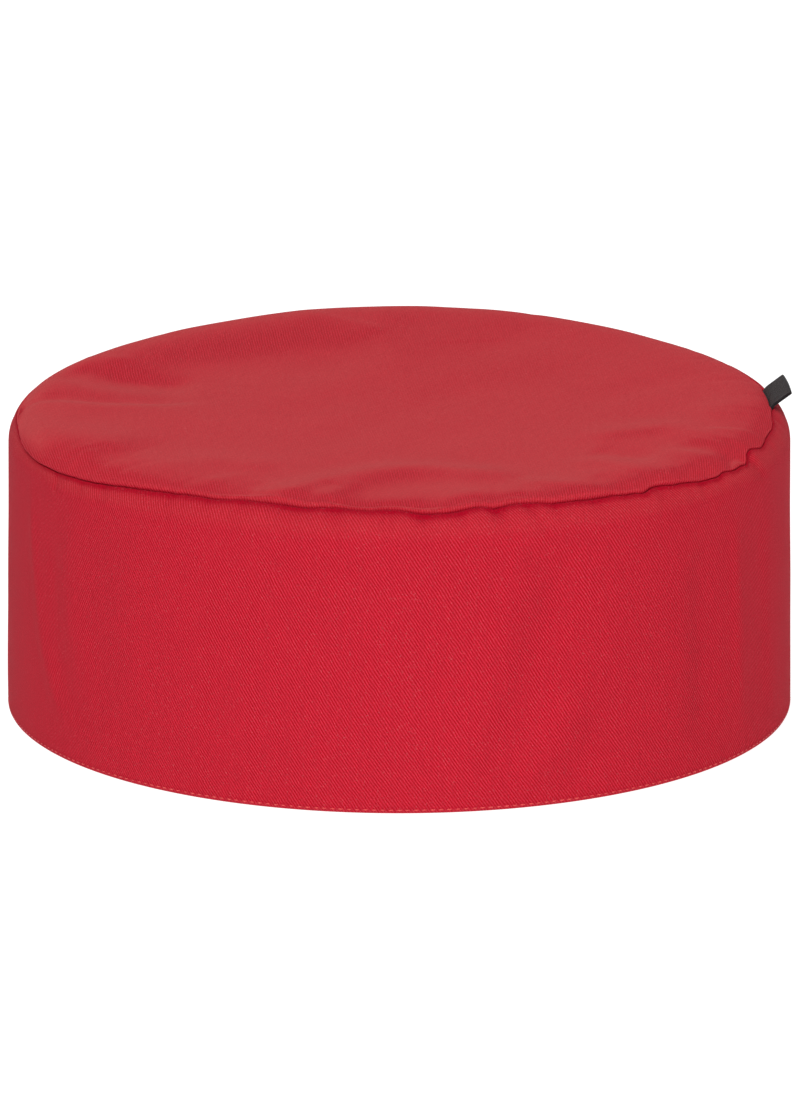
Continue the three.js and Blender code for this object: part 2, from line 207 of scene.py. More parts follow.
# ---- Tables of what is sewn and creased unevenly --------------------------------------------
@dataclass(frozen=True)
class SeamMark:
    """The crown seam at one azimuth.

    It says how far inside the wall the seam lies, and how full the crown rolls over it.
    """

    azimuth: float
    inset: float
    roll: float


@dataclass(frozen=True)
class CrestMark:
    """How far the shoulder's crest stands above its usual height at one azimuth."""

    azimuth: float
    rise: float


@dataclass(frozen=True)
class Crease:
    """A soft crease along a path. It falls away over one width on its left and another on its right."""

    name: str
    path: tuple
    rise: float
    left: float
    right: float
    fade: float = 0.3


@dataclass(frozen=True)
class Pucker:
    """A small pull at the crown seam: a dent in the wall below it, and a dip in the crown's edge."""

    azimuth: float
    width: float
    length: float
    depth: float
    lean: float = 0.0


END_SHARE = 0.2  # the share of its fade that a crease has already come in by at its very end


def table(kind: type, *rows: tuple) -> tuple:
    """A table with one entry of a kind for each row."""
    return tuple(kind(*row) for row in rows)


# Rows of azimuth, inset and roll.
SEAM_LINE = table(
    SeamMark,
    (-150, 4.9, 1.4), (-125, 3.8, 0.9), (-116, 3.0, 0.6), (-108, 2.1, 0.5), (-100, 1.7, 0.4),
    (-93, 1.8, 0.4), (-84, 1.85, 0.4), (-78, 1.4, 0.4), (-72, 1.1, 0.45), (-66, 1.05, 0.55),
    (-60, 1.25, 0.7), (-52, 1.9, 1.0), (-44, 3.2, 1.35), (-34, 4.8, 1.7), (-28, 5.2, 1.7),
    (-24, 6.3, 1.8), (-14, 5.6, 1.8), (-10, 6.4, 1.8), (-5, 5.5, 1.8), (-1, 6.3, 1.9), (3, 4.8, 2.0),
    (8, 4.8, 1.9), (12, 6.1, 1.8), (15, 5.5, 1.8), (19, 6.5, 1.8), (24, 5.0, 1.6), (33, 4.3, 1.5),
    (38, 3.7, 1.3), (40.4, 3.3, 1.2), (41.9, 3.95, 1.1), (43.5, 4.1, 1.1), (45.6, 3.45, 1.0),
    (49, 2.75, 0.9), (52, 2.3, 0.9), (56, 1.95, 0.8), (57.7, 2.3, 0.8), (60, 1.85, 0.75),
    (62.4, 1.95, 0.75), (64.2, 1.8, 0.7), (66.3, 3.15, 0.7), (68.3, 3.6, 0.65), (71.3, 2.6, 0.6),
    (76, 3.25, 0.6), (80.8, 3.3, 0.55), (86, 4.2, 0.5), (90, 4.35, 0.5), (103, 4.5, 0.6),
    (130, 4.5, 1.1), (180, 4.8, 1.4),
)

# Rows of azimuth and rise.
CREST_LINE = table(
    CrestMark,
    (-165, 0.4), (-150, -0.3), (-130, -0.7), (-110, -0.3), (-60, 0.0), (60, 0.0), (110, -0.3),
    (130, -0.7), (150, -0.3), (165, 0.4),
)

# Creases of the wall: name, path in azimuth and height, rise, width to the left and to the right.
WALL_CREASES = table(
    Crease,
    ("front ridge", ((19, 64), (16.5, 49), (13.5, 31), (10.4, 17), (3, 5)), 0.8, 7, 6),
    ("front hollow", ((25, 62), (21.5, 44), (18.5, 28), (14, 12)), -0.95, 7, 7),
    ("second ridge", ((27, 30), (23.5, 16), (17, 3)), 0.9, 5.5, 5),
    ("second hollow", ((31, 22), (28, 10), (24, 2)), -0.4, 4, 6),
    ("right hollow", ((50, 60), (50, 35), (51, 4)), -0.85, 8, 4.5),
    ("right ridge", ((58.5, 64), (59, 36), (60, 6)), 0.6, 4.5, 2.4),
    ("right outer hollow", ((66, 64), (67, 30), (68, 4)), -0.5, 4, 9),
    ("left outer ridge", ((-69.5, 66), (-67.5, 44), (-64, 24), (-56, 5)), 0.55, 3.0, 3.0),
    ("left outer hollow", ((-62, 60), (-60.5, 36), (-58, 20), (-51, 4)), -0.4, 3.5, 3.5),
    ("left ridge", ((-56, 66), (-56.5, 44), (-54, 22)), 0.22, 4, 4),
    ("left hollow", ((-49, 60), (-50, 34), (-47, 12)), -0.25, 5, 5),
    ("left inner ridge", ((-42, 62), (-43, 36), (-40, 14)), 0.3, 5, 6),
    ("left low fan, outer", ((-58, 18), (-54, 9), (-46, 2)), 0.45, 3, 3),
    ("left low fan, inner", ((-50, 14), (-45, 7), (-38, 2)), 0.35, 3.5, 3),
    ("allowance edge, left", ((-31, 66), (-20.8, 61), (-13.2, 57.5), (-5.8, 57), (6, 54)), -0.6, 3, 6),
    ("allowance bulge, left", ((-26, 56), (-13.2, 52), (-3, 51), (6, 49)), 0.35, 4, 6),
    ("allowance dent, right", ((18, 63.5), (23, 60.5), (27.5, 59)), -0.5, 3, 4),
    ("front dent", ((11, 13), (15, 9), (18, 6)), -0.35, 4, 4),
    ("back ease, left", ((-140, 62), (-137, 36), (-136, 12)), -0.5, 8, 8),
    ("back ease, right", ((142, 60), (144, 34), (146, 10)), -0.5, 8, 8),
    ("back drag", ((168, 60), (160, 44), (150, 30)), -0.35, 5, 5),
    ("side drag, right", ((96, 62), (99, 44), (104, 24)), -0.4, 6, 6),
    ("side drag, left", ((-104, 60), (-100, 38), (-98, 16)), -0.4, 6, 6),
)

# Creases of the crown: the same, with the path in X and Y, and the share of it that each end fades over.
CROWN_CREASES = table(
    Crease,
    (
        "front crest",
        (
            (-33, -84), (-24, -75.5), (-18, -68), (-10.5, -62), (-4, -57.5), (4, -55.5), (12, -57),
            (20, -60), (29, -64),
        ),
        1.0, 7, 7, 0.2,
    ),
    ("front apron", ((-20, -91), (-9, -92), (5, -92), (18, -91)), -1.6, 17, 6, 0.4),
    ("front valley", ((-10, -71), (0, -68), (12, -70)), -0.15, 6, 9, 0.4),
    ("front wedge", ((-15, -69), (-20, -77), (-24, -85)), -0.3, 3, 3.0, 0.25),
    ("front rib, left", ((-8.5, -67), (-13, -74), (-19, -84)), 0.25, 2.6, 3.4),
    ("front bulge", ((-8, -83), (-1, -81), (7, -83)), 0.2, 4.5, 5, 0.5),
    ("front rib, right", ((20, -76), (13, -81), (10, -88)), 0.2, 3.6, 3.2),
    ("front left crest", ((-60, -58), (-46, -50), (-38, -51), (-29, -56)), 0.4, 8, 8),
    ("front left rib", ((-35, -61), (-41, -65), (-47, -70)), 0.15, 2.8, 2.8),
    ("front left hollow", ((-30, -70), (-38, -75), (-48, -76)), -0.4, 6, 5),
    (
        "right crest, long",
        ((44, -27), (54, -23), (61, -20.5), (66, -21.5), (71, -27), (76, -32), (84, -36)),
        0.6, 7, 5, 0.25,
    ),
    ("right hollow, outer", ((68, -34), (75, -39), (81, -43), (89, -45)), -0.55, 5, 4, 0.3),
    ("right hollow, inner", ((46, -39), (54, -43), (62, -47)), -0.45, 7, 5, 0.3),
    ("right crest, middle", ((60, -38), (68, -43), (75, -47), (84, -48)), 0.18, 3.2, 4),
    ("right crest, short", ((40, -47), (51, -52), (57, -57), (64, -61), (74, -62)), 0.4, 5.5, 5),
    ("right front hollow", ((46, -64), (52, -68), (58, -73)), -0.35, 5, 5),
    ("right front crest", ((28, -68), (39, -71), (47, -74), (55, -78)), 0.3, 4.5, 3.2),
    ("right rise", ((94, -2), (84, -4), (70, -7)), 0.3, 6, 8, 0.35),
    ("right thin crest", ((73, -24), (82, -23.5), (92, -23)), 0.25, 1.8, 4, 0.3),
    ("left rear hollow", ((-86, 34), (-76, 31), (-69, 27), (-60, 25), (-48, 24)), -1.15, 7, 11, 0.25),
    ("left hollow", ((-96, 8), (-82, 7), (-72, 6), (-62, 7), (-48, 10)), -0.85, 8, 4, 0.25),
    ("left swell", ((-99, -22), (-90, -26), (-80, -31), (-70, -37), (-62, -42)), 1.2, 13, 8, 0.35),
    ("left front crest", ((-78, -44), (-71, -40), (-64, -38)), 0.12, 3, 4, 0.35),
    ("left rear streak", ((-76, 46), (-70, 43), (-64, 42)), 0.2, 2.5, 4, 0.3),
    ("back left basin", ((-76, 16), (-60, 29), (-42, 43), (-22, 52), (-2, 55)), -1.35, 14, 26, 0.3),
    ("back right swell", ((24, 56), (46, 42), (66, 20)), 0.4, 20, 24, 0.3),
    ("back crest", ((-25, 82), (-14, 73), (-3, 65)), 0.3, 3, 8, 0.3),
)

# Rows of azimuth, width, length, depth and lean.
PUCKERS = table(
    Pucker,
    (-61, 1.4, 6, 0.35, 0.2), (-50, 1.8, 7, 0.3, 0.3), (-37, 2.0, 6, 0.3, 0.2),
    (-24.5, 1.8, 6, 0.4, -0.2), (-10, 2.0, 5, 0.45, 0.2), (-2, 1.6, 4, 0.35, -0.3),
    (3.3, 2.2, 3.5, 0.7, 0.0), (9.3, 1.6, 3.5, 0.5, 0.2), (14.8, 1.8, 5, 0.65, 0.35),
    (19.6, 1.5, 5, 0.75, 0.45), (24, 1.4, 4, 0.4, 0.2), (31, 1.6, 5, 0.3, 0.3), (43, 1.8, 6, 0.5, -0.2),
    (52, 1.8, 5, 0.35, 0.0), (66, 1.6, 8, 0.7, 0.3), (75, 1.8, 6, 0.3, -0.2), (86, 2.0, 7, 0.4, 0.0),
    (105, 2.2, 7, 0.4, 0.0),
)


class CreaseField:
    """All the creases of one panel, ready to be read at many places."""

    def __init__(self, creases: tuple, scale: tuple[float, float] = (1.0, 1.0), wrap: float = 0.0) -> None:
        """Prepares the creases.

        Args:
            creases: The table.
            scale: Millimetres for one unit of each path coordinate.
            wrap: Length after which the first coordinate repeats, or 0.
        """
        self.wrap = wrap
        self.creases = [(crease, soft_path(crease.path) * np.array(scale)) for crease in creases]

    def rise(self, x: Array, y: Array) -> Array:
        """The height of all creases together.

        Args:
            x: First coordinate of the places.
            y: Second coordinate.

        Returns:
            The height, in mm.
        """
        total = np.zeros(np.broadcast(x, y).shape)
        for crease, path in self.creases:
            total += self._one(crease, path, x, y)
        return total

    def _one(self, crease: Crease, path: Array, x: Array, y: Array) -> Array:
        """The height of one crease.

        Args:
            crease: The crease.
            path: Its path, as points in mm.
            x: First coordinate of the places.
            y: Second coordinate.

        Returns:
            The height, in mm.
        """
        if self.wrap:
            middle = path[len(path) // 2, 0]
            x = middle + (x - middle + self.wrap / 2) % self.wrap - self.wrap / 2
        lengths = np.hypot(*np.diff(path, axis=0).T)
        starts = np.concatenate([[0.0], np.cumsum(lengths)])
        best = np.full(np.broadcast(x, y).shape, np.inf)
        side = np.zeros_like(best)
        along = np.zeros_like(best)
        for (ax, ay), (bx, by), length, start in zip(path, path[1:], lengths, starts):
            dx, dy = (bx - ax) / length, (by - ay) / length
            run = np.clip((x - ax) * dx + (y - ay) * dy, 0.0, length)
            distance = np.hypot(x - ax - run * dx, y - ay - run * dy)
            nearer = distance < best
            best = np.where(nearer, distance, best)
            side = np.where(nearer, dx * (y - ay) - dy * (x - ax), side)
            along = np.where(nearer, start + run, along)
        share = along / starts[-1]
        ends = smooth(share / crease.fade + END_SHARE) * smooth((1 - share) / crease.fade + END_SHARE)
        width = np.where(side > 0, crease.left, crease.right)
        return crease.rise * ends * bell(best, width)


# ---- The cap's shape ---------------------------------------------------------------------------
@dataclass
class Seam:
    """The crown seam at many azimuths.

    A place near it is the roll's centre, plus its depth along out, plus its distance from the
    seam's plane along across, which points towards the crown.
    """

    angle: Array
    centre_r: Array
    centre_z: Array
    half_gap: Array
    roll: Array

    def at(self, depth: Array | float, distance: Array | float) -> tuple[Array, Array]:
        """The (radius, height) of a place by its depth and its distance from the seam's plane."""
        cos, sin = np.cos(self.angle), np.sin(self.angle)
        return self.centre_r + depth * cos - distance * sin, self.centre_z + depth * sin + distance * cos

    def on_roll(self, angle: Array, radius: Array | float) -> tuple[Array, Array]:
        """The (radius, height) of a place on the shoulder by its angle above level and its radius."""
        return self.centre_r + radius * np.cos(angle), self.centre_z + radius * np.sin(angle)


@dataclass
class CapShape:
    """The cap's driving sizes and the surfaces that its cloth follows.

    A pair is a start and a span, in mm, that something comes in over.
    """

    rim_radius: float
    top_height: float
    shoulder_radius: float = 9.0
    wall_taper: float = 0.4
    crown_dish: float = 2.2
    crown_puff: float = 0.15
    puff_from: tuple[float, float] = (68.0, 12.0)
    wall_unevenness: float = 0.22
    crown_unevenness: float = 0.3
    rim_calm: float = 9.0
    seam_gap_share: float = 0.08
    seam_unevenness: float = 0.25
    uneven_inset: float = 4.0
    uneven_past_label: float = 3.0
    seam_tuck: float = 0.26
    edge_drop: float = 0.7
    edge_from: tuple[float, float] = (-5.0, 6.0)
    crown_pull: float = 0.5
    pull_from: tuple[float, float] = (55.0, 25.0)
    pull_edge: float = 3.0
    allowance: float = 6.5
    label_azimuth: float = 95.5
    label_width: float = 15.0
    label_gap: float = 0.95
    label_ease: float = 2.5
    random_puckers: int = 46
    pucker_seed: int = 23

    def __post_init__(self) -> None:
        """Prepares the creases, and scatters small puckers between the large ones."""
        self.arc = np.radians(1.0) * self.rim_radius
        self.shoulder_base = self.top_height - self.shoulder_radius
        self.centre_r = self.rim_radius - self.wall_taper - self.shoulder_radius
        self.wall_creases = CreaseField(WALL_CREASES, (self.arc, 1.0), 360.0 * self.arc)
        self.crown_creases = CreaseField(CROWN_CREASES)
        self.wall_waves = Waves(seed=11, longest=60.0, shortest=14.0)
        self.crown_waves = Waves(seed=5, longest=70.0, shortest=12.0)
        self.seam_waves = Waves(seed=17, longest=7.0, shortest=2.0, count=8)
        rng = np.random.default_rng(self.pucker_seed)
        ranges = ((1.2, 2.2), (3, 6), (0.08, 0.26), (-0.4, 0.4))  # of width, length, depth and lean
        places = rng.uniform(-180, 180, self.random_puckers)
        small = tuple(Pucker(place, *(rng.uniform(*ends) for ends in ranges)) for place in places)
        self.puckers = PUCKERS + small

    def seam(self, azimuth: Array) -> Seam:
        """The crown seam.

        Args:
            azimuth: Where on the seam.

        Returns:
            The seam there.
        """
        inset = round_table(SEAM_LINE, "inset", azimuth)
        past = np.abs(turn(azimuth, self.label_azimuth)) * self.arc - self.label_width / 2
        uneven = self.seam_unevenness * smooth(inset / self.uneven_inset)
        uneven = uneven * smooth(past / self.uneven_past_label)
        inset = inset + uneven * self.seam_waves.at(azimuth * self.arc, 0.0)
        roll = round_table(SEAM_LINE, "roll", azimuth)
        plain_gap = self.seam_gap_share * roll
        gap = self.label_gap + (plain_gap - self.label_gap) * smooth(past / self.label_ease)
        return Seam(
            angle=np.arccos(1.0 - inset / self.shoulder_radius),
            centre_r=np.full_like(azimuth, self.centre_r),
            centre_z=self.shoulder_base + round_table(CREST_LINE, "rise", azimuth),
            half_gap=gap / 2,
            roll=roll,
        )

    def wall_rise(self, azimuth: Array, height: Array) -> Array:
        """How far the wall stands out from its plain shape.

        Args:
            azimuth: Where round the wall.
            height: How high up it, in mm.

        Returns:
            The distance, in mm.
        """
        u = azimuth * self.arc
        rise = self.wall_creases.rise(u, height) + self.wall_unevenness * self.wall_waves.at(u, height)
        return rise * smooth(height / self.rim_calm)

    def wall_radius(self, azimuth: Array, height: Array) -> Array:
        """The wall's radius, in mm."""
        plain = self.rim_radius - self.wall_taper * height / self.shoulder_base
        return plain + self.wall_rise(azimuth, height)

    def pull(self, azimuth: Array, past: Array) -> Array:
        """How deep the seam's puckers draw the cloth in.

        Args:
            azimuth: Where on the seam.
            past: How far from the seam, in mm.

        Returns:
            The depth, in mm.
        """
        total = np.zeros(np.broadcast(azimuth, past).shape)
        for p in self.puckers:
            sideways = turn(azimuth, p.azimuth) * self.arc + p.lean * past
            total += p.depth * bell(sideways, p.width) * np.exp(-past / p.length)
        return total

    def crown_rise(self, x: Array, y: Array) -> Array:
        """How far the crown stands above its top height.

        Args:
            x: X of the places, in mm.
            y: Y of the places.

        Returns:
            The distance, in mm, negative where the crown is sunk.
        """
        radius = np.hypot(x, y)
        share = radius / self.centre_r
        azimuth = np.degrees(np.arctan2(x, -y))
        rise = -self.crown_dish * np.clip(1.0 - share**2, 0.0, 1.0) ** 1.5
        rise += self.crown_creases.rise(x, y) + self.crown_unevenness * self.crown_waves.at(x, y)
        rise += self.crown_puff * ramp(radius, *self.puff_from)
        edge_start, edge_span = self.edge_from
        rise -= self.edge_drop * np.clip((radius - self.centre_r - edge_start) / edge_span, 0.0, 1.0) ** 2
        edge = np.clip(self.centre_r + self.pull_edge - radius, 0.0, None)
        rise -= self.crown_pull * self.pull(azimuth, edge) * ramp(radius, *self.pull_from)
        return rise + round_table(CREST_LINE, "rise", azimuth) * share**2


# ---- Making meshes -----------------------------------------------------------------------------
@dataclass
class Ring:
    """One ring of points round a piece.

    Attributes:
        points: The points, in mm, one a row.
        cloth: Their cloth coordinates, one a row, with a last row that closes the ring.
        wear: How rubbed the ring is, from 0 to 1.
        painted_shade: How much painted shade the ring gets, from 0 to 1.
    """

    points: Array
    cloth: Array
    wear: Array | float
    painted_shade: Array | float = 0.0


def flat_place(azimuth: Array, radius: Array | float) -> tuple[Array, Array]:
    """The X and Y of places by azimuth and radius."""
    angle = np.radians(azimuth)
    return radius * np.sin(angle), -radius * np.cos(angle)


def polar(azimuth: Array, radius: Array, height: Array) -> Array:
    """Points from azimuth, radius and height, one a row."""
    x, y = flat_place(azimuth, radius)
    return np.stack([x, y, np.broadcast_to(height, x.shape)], 1)


def all_round(count: int) -> Array:
    """Evenly spaced azimuths once round the cap, from the back."""
    return -180.0 + 360.0 * np.arange(count) / count


def arc_steps(start: float, end: float, count: int) -> list[float]:
    """Values spaced evenly from start to end, both ends in."""
    return [start + (end - start) * i / (count - 1) for i in range(count)]


def new_mesh(name: str, points: list, faces: list, corners: list, marks: dict[str, Array]) -> bpy.types.Mesh:
    """Makes a smooth closed mesh with its faces pointing out.

    Args:
        name: The mesh's name.
        points: Arrays of points, in mm, one a row.
        faces: The faces, as tuples of point numbers.
        corners: The cloth coordinates of every face's corners.
        marks: One value for each point, by the attribute's name.

    Returns:
        The mesh.
    """
    mesh = bpy.data.meshes.new(name)
    mesh.from_pydata((np.vstack(points) * MM).tolist(), [], faces)
    layer = mesh.uv_layers.new(name=CLOTH_MAP)
    layer.uv.foreach_set("vector", np.array(corners, np.float32).ravel())
    for mark, values in marks.items():
        attribute = mesh.attributes.new(mark, "FLOAT", "POINT")
        attribute.data.foreach_set("value", values.astype(np.float32))
    if signed_volume(mesh) < 0:
        mesh.flip_normals()
    mesh.shade_smooth()
    return mesh


def signed_volume(mesh: bpy.types.Mesh) -> float:
    """Measures a closed mesh.

    Args:
        mesh: The mesh.

    Returns:
        The volume it holds, negative where its faces point in.
    """
    mesh.calc_loop_triangles()
    corners = np.empty(len(mesh.loop_triangles) * 3, np.int32)
    mesh.loop_triangles.foreach_get("vertices", corners)
    co = np.empty(len(mesh.vertices) * 3, np.float32)
    mesh.vertices.foreach_get("co", co)
    a, b, c = co.reshape(-1, 3)[corners.reshape(-1, 3)].transpose(1, 0, 2).astype(float)
    return float(np.einsum("ij,ij->i", a, np.cross(b, c)).sum() / 6.0)


def linked(name: str, data: bpy.types.ID) -> bpy.types.Object:
    """Puts a new object into the scene and returns it."""
    obj = bpy.data.objects.new(name, data)
    bpy.context.scene.collection.objects.link(obj)
    return obj


def dressed(mesh: bpy.types.Mesh, material: bpy.types.Material) -> bpy.types.Object:
    """Makes a mesh into an object of the same name with its finish on."""
    mesh.materials.append(material)
    return linked(mesh.name, mesh)


@dataclass(frozen=True)
class PaintedSheen:
    """Painted sheen on a cloth: a pale colour laid on by the way its surface faces.

    It takes the place of the pale bloom that cloth shows at a low angle. On the crown it fades as the
    cloth turns to the front, leaning to the azimuth along; elsewhere it grows as the cloth faces up
    and to either side. A pair is a start and a span of one part of the cloth's normal, over which
    something comes in.
    """

    fades_to_front: bool
    along: float = 20.0
    stands: tuple[float, float] = (0.06, 0.42)  # up, where the sheen doesn't fade to the front
    thins: tuple[float, float] = (0.55, 0.4)  # further up, where less sheen is painted
    thinning: float = 0.55
    aside: tuple[float, float] = (0.5, 0.35)  # to either side, where more sheen is painted
    aside_gain: float = 0.7
    lies: tuple[float, float] = (-0.2, 0.48)  # turned to the front, where the sheen fades
    front_fade_up: tuple[float, float] = (0.35, 0.4)  # up, where the sheen fades to the front
    least: float = 0.2
    least_sheen_up: tuple[float, float] = (0.08, 0.5)  # up, for the least sheen that is always painted

    def mark(self, mesh: bpy.types.Mesh) -> None:
        """Marks how much painted sheen each point of a cloth gets.

        Args:
            mesh: The cloth.
        """
        normals = np.empty(len(mesh.vertices) * 3, np.float32)
        mesh.vertex_normals.foreach_get("vector", normals)
        right, front, up = normals[0::3], -normals[1::3], normals[2::3]
        if self.fades_to_front:
            lean = front * np.cos(np.radians(self.along)) + right * np.sin(np.radians(self.along))
            sheen_amount = (1.0 - ramp(lean, *self.lies)) * ramp(up, *self.front_fade_up)
            sheen_amount = np.maximum(sheen_amount, self.least * ramp(up, *self.least_sheen_up))
        else:
            thinned = 1.0 - self.thinning * ramp(up, *self.thins)
            aside = 1.0 + self.aside_gain * ramp(np.abs(right), *self.aside)
            sheen_amount = ramp(up, *self.stands) * thinned * aside
        painted_sheen = mesh.attributes.new(PAINTED_SHEEN, "FLOAT", "POINT")
        painted_sheen.data.foreach_set("value", sheen_amount.astype(np.float32))


Placed = tuple[int, int, Array]  # a ring in a mesh: its first point, its count, its cloth coordinates


class ClothMesh:
    """Gathers rings, joins them with faces, and makes the mesh of a piece."""

    def __init__(self) -> None:
        """Starts with nothing in it."""
        self.rings: list[Ring] = []
        self.faces: list[tuple] = []
        self.corners: list[Array] = []
        self.count = 0

    def add(self, ring: Ring) -> Placed:
        """Adds a ring's points.

        Args:
            ring: The ring.

        Returns:
            Its first point's number, its count of points and its cloth coordinates.
        """
        first = self.count
        self.rings.append(ring)
        self.count += len(ring.points)
        return first, len(ring.points), ring.cloth

    def _face(self, face: tuple, corners: tuple, reverse: bool = False) -> None:
        """Adds a face with its corners' cloth coordinates, turned over if asked."""
        self.faces.append(face[::-1] if reverse else face)
        self.corners += corners[::-1] if reverse else corners

    def join(self, a: Placed, b: Placed) -> None:
        """Joins two rings. Where one has twice as many points, three triangles fill each gap.

        Args:
            a: The first ring.
            b: The next one.
        """
        (fa, n, ca), (fb, m, cb) = a, b
        if n != m:
            self._narrow(*((b, a, True) if n < m else (a, b, False)))
            return
        for i in range(n):
            j = (i + 1) % n
            self._face((fa + i, fa + j, fb + j, fb + i), (ca[i], ca[i + 1], cb[i + 1], cb[i]))

    def _narrow(self, wide: Placed, slim: Placed, reverse: bool) -> None:
        """Joins a ring to one of half as many points.

        Args:
            wide: The ring with more points.
            slim: The ring with half as many.
            reverse: Whether the faces are turned over.
        """
        (fw, n, cw), (fs, m, cs) = wide, slim
        for k in range(m):
            i, j, after, k1 = 2 * k, 2 * k + 1, (2 * k + 2) % n, (k + 1) % m
            self._face((fw + i, fw + j, fs + k), (cw[i], cw[j], cs[k]), reverse)
            self._face((fw + j, fs + k1, fs + k), (cw[j], cs[k + 1], cs[k]), reverse)
            self._face((fw + j, fw + after, fs + k1), (cw[j], cw[j + 1], cs[k + 1]), reverse)

    def cap(self, ring: Placed, point: Array, cloth: Array, reverse: bool) -> None:
        """Closes a ring with a fan of triangles.

        Args:
            ring: The ring.
            point: The fan's middle.
            cloth: The middle's cloth coordinate.
            reverse: Whether the faces are turned over.
        """
        first, n, coords = ring
        tip, _, _ = self.add(Ring(point[None], cloth[None], 0.0))
        for i in range(n):
            self._face((first + i, first + (i + 1) % n, tip), (coords[i], coords[i + 1], cloth), reverse)

    def build(self, name: str, painted_sheen: PaintedSheen, material: bpy.types.Material) -> bpy.types.Object:
        """Makes the piece.

        Args:
            name: The piece's name.
            painted_sheen: The cloth's painted sheen.
            material: Its finish.

        Returns:
            The object.
        """
        marks = {}
        for mark in (WEAR, PAINTED_SHADE):
            values = [np.broadcast_to(getattr(ring, mark), (len(ring.points),)) for ring in self.rings]
            marks[mark] = np.concatenate(values)
        mesh = new_mesh(name, [ring.points for ring in self.rings], self.faces, self.corners, marks)
        painted_sheen.mark(mesh)
        mesh.validate()
        return dressed(mesh, material)


# ---- Finishes ----------------------------------------------------------------------------------
Socket = bpy.types.NodeSocket
Colour = tuple[float, float, float]


class Bench:
    """Lays out the nodes of a material or a node group."""

    def __init__(self, tree: bpy.types.NodeTree) -> None:
        """Works on one node tree."""
        self.tree = tree

    def node(self, kind: str, **settings: object) -> bpy.types.Node:
        """Adds a node.

        Args:
            kind: Its kind.
            **settings: Its settings.

        Returns:
            The node.
        """
        node = self.tree.nodes.new(kind)
        for name, value in settings.items():
            setattr(node, name, value)
        return node

    def put(self, socket: Socket, value: object) -> None:
        """Feeds a socket from another socket or with a plain value.

        Args:
            socket: The socket to feed.
            value: The other socket, or the value.
        """
        if isinstance(value, Socket):
            self.tree.links.new(value, socket)
        else:
            socket.default_value = value

    def feed(self, node: bpy.types.Node, **values: object) -> bpy.types.Node:
        """Feeds a node's inputs, which are named with underscores for spaces, and returns the node."""
        for name, value in values.items():
            self.put(node.inputs[name.replace("_", " ")], value)
        return node

    def math(self, operation: str, *values: object, clamp: bool = False) -> Socket:
        """Calculates with a Math node.

        Args:
            operation: The operation.
            *values: What it works on.
            clamp: Whether the result is held between 0 and 1.

        Returns:
            The result.
        """
        node = self.node("ShaderNodeMath", operation=operation, use_clamp=clamp)
        for socket, value in zip(node.inputs, values):
            self.put(socket, value)
        return node.outputs[0]

    def mix(self, share: object, a: object, b: object) -> Socket:
        """Mixes two colours.

        Args:
            share: The share of the second one.
            a: The first colour.
            b: The second one.

        Returns:
            The mix.
        """
        node = self.node("ShaderNodeMix", data_type="RGBA")
        for name, value in (("Factor", share), ("A", a), ("B", b)):
            self.put(node.inputs[name], rgba(value) if isinstance(value, tuple) else value)
        return node.outputs["Result"]

    def spread(
        self, value: object, low: float, high: float, to_low: float = 0.0, to_high: float = 1.0
    ) -> Socket:
        """Stretches a value from one range to another and holds it inside.

        Args:
            value: The value.
            low: The first range's low end.
            high: Its high end.
            to_low: The second range's low end.
            to_high: Its high end.

        Returns:
            The stretched value.
        """
        node = self.node("ShaderNodeMapRange")
        self.feed(node, Value=value, From_Min=low, From_Max=high, To_Min=to_low, To_Max=to_high)
        return node.outputs["Result"]

    def noise(self, where: Socket, scale: object, detail: float = 2.0, roughness: float = 0.5) -> Socket:
        """A noise texture's value."""
        node = self.node("ShaderNodeTexNoise")
        return self.feed(node, Vector=where, Scale=scale, Detail=detail, Roughness=roughness).outputs["Fac"]

    def split(self, vector: Socket) -> tuple[Socket, Socket]:
        """A vector's first two parts."""
        outputs = self.feed(self.node("ShaderNodeSeparateXYZ"), Vector=vector).outputs
        return outputs["X"], outputs["Y"]

    def use(self, group: bpy.types.NodeTree, **values: object) -> dict[str, Socket]:
        """Places a node group and returns its outputs by name."""
        node = self.feed(self.node("ShaderNodeGroup", node_tree=group), **values)
        return {socket.name: socket for socket in node.outputs}


def rgba(colour: Colour) -> tuple[float, float, float, float]:
    """A colour with its full alpha."""
    return (*colour, 1.0)


class Group(Bench):
    """A shader node group in the making."""

    def __init__(self, name: str, inputs: dict[str, float | None], outputs: tuple[str, ...]) -> None:
        """Starts the group.

        Args:
            name: Its name.
            inputs: Each input's usual value by its name, or None where the input is a vector.
            outputs: The names of its outputs, which are all plain values.
        """
        super().__init__(bpy.data.node_groups.new(name, "ShaderNodeTree"))
        for label, value in inputs.items():
            kind = "NodeSocketVector" if value is None else "NodeSocketFloat"
            socket = self.tree.interface.new_socket(label, in_out="INPUT", socket_type=kind)
            if value is not None:
                socket.default_value = value
        for label in outputs:
            self.tree.interface.new_socket(label, in_out="OUTPUT", socket_type="NodeSocketFloat")
        self.get = self.node("NodeGroupInput").outputs
        self.out = self.node("NodeGroupOutput")


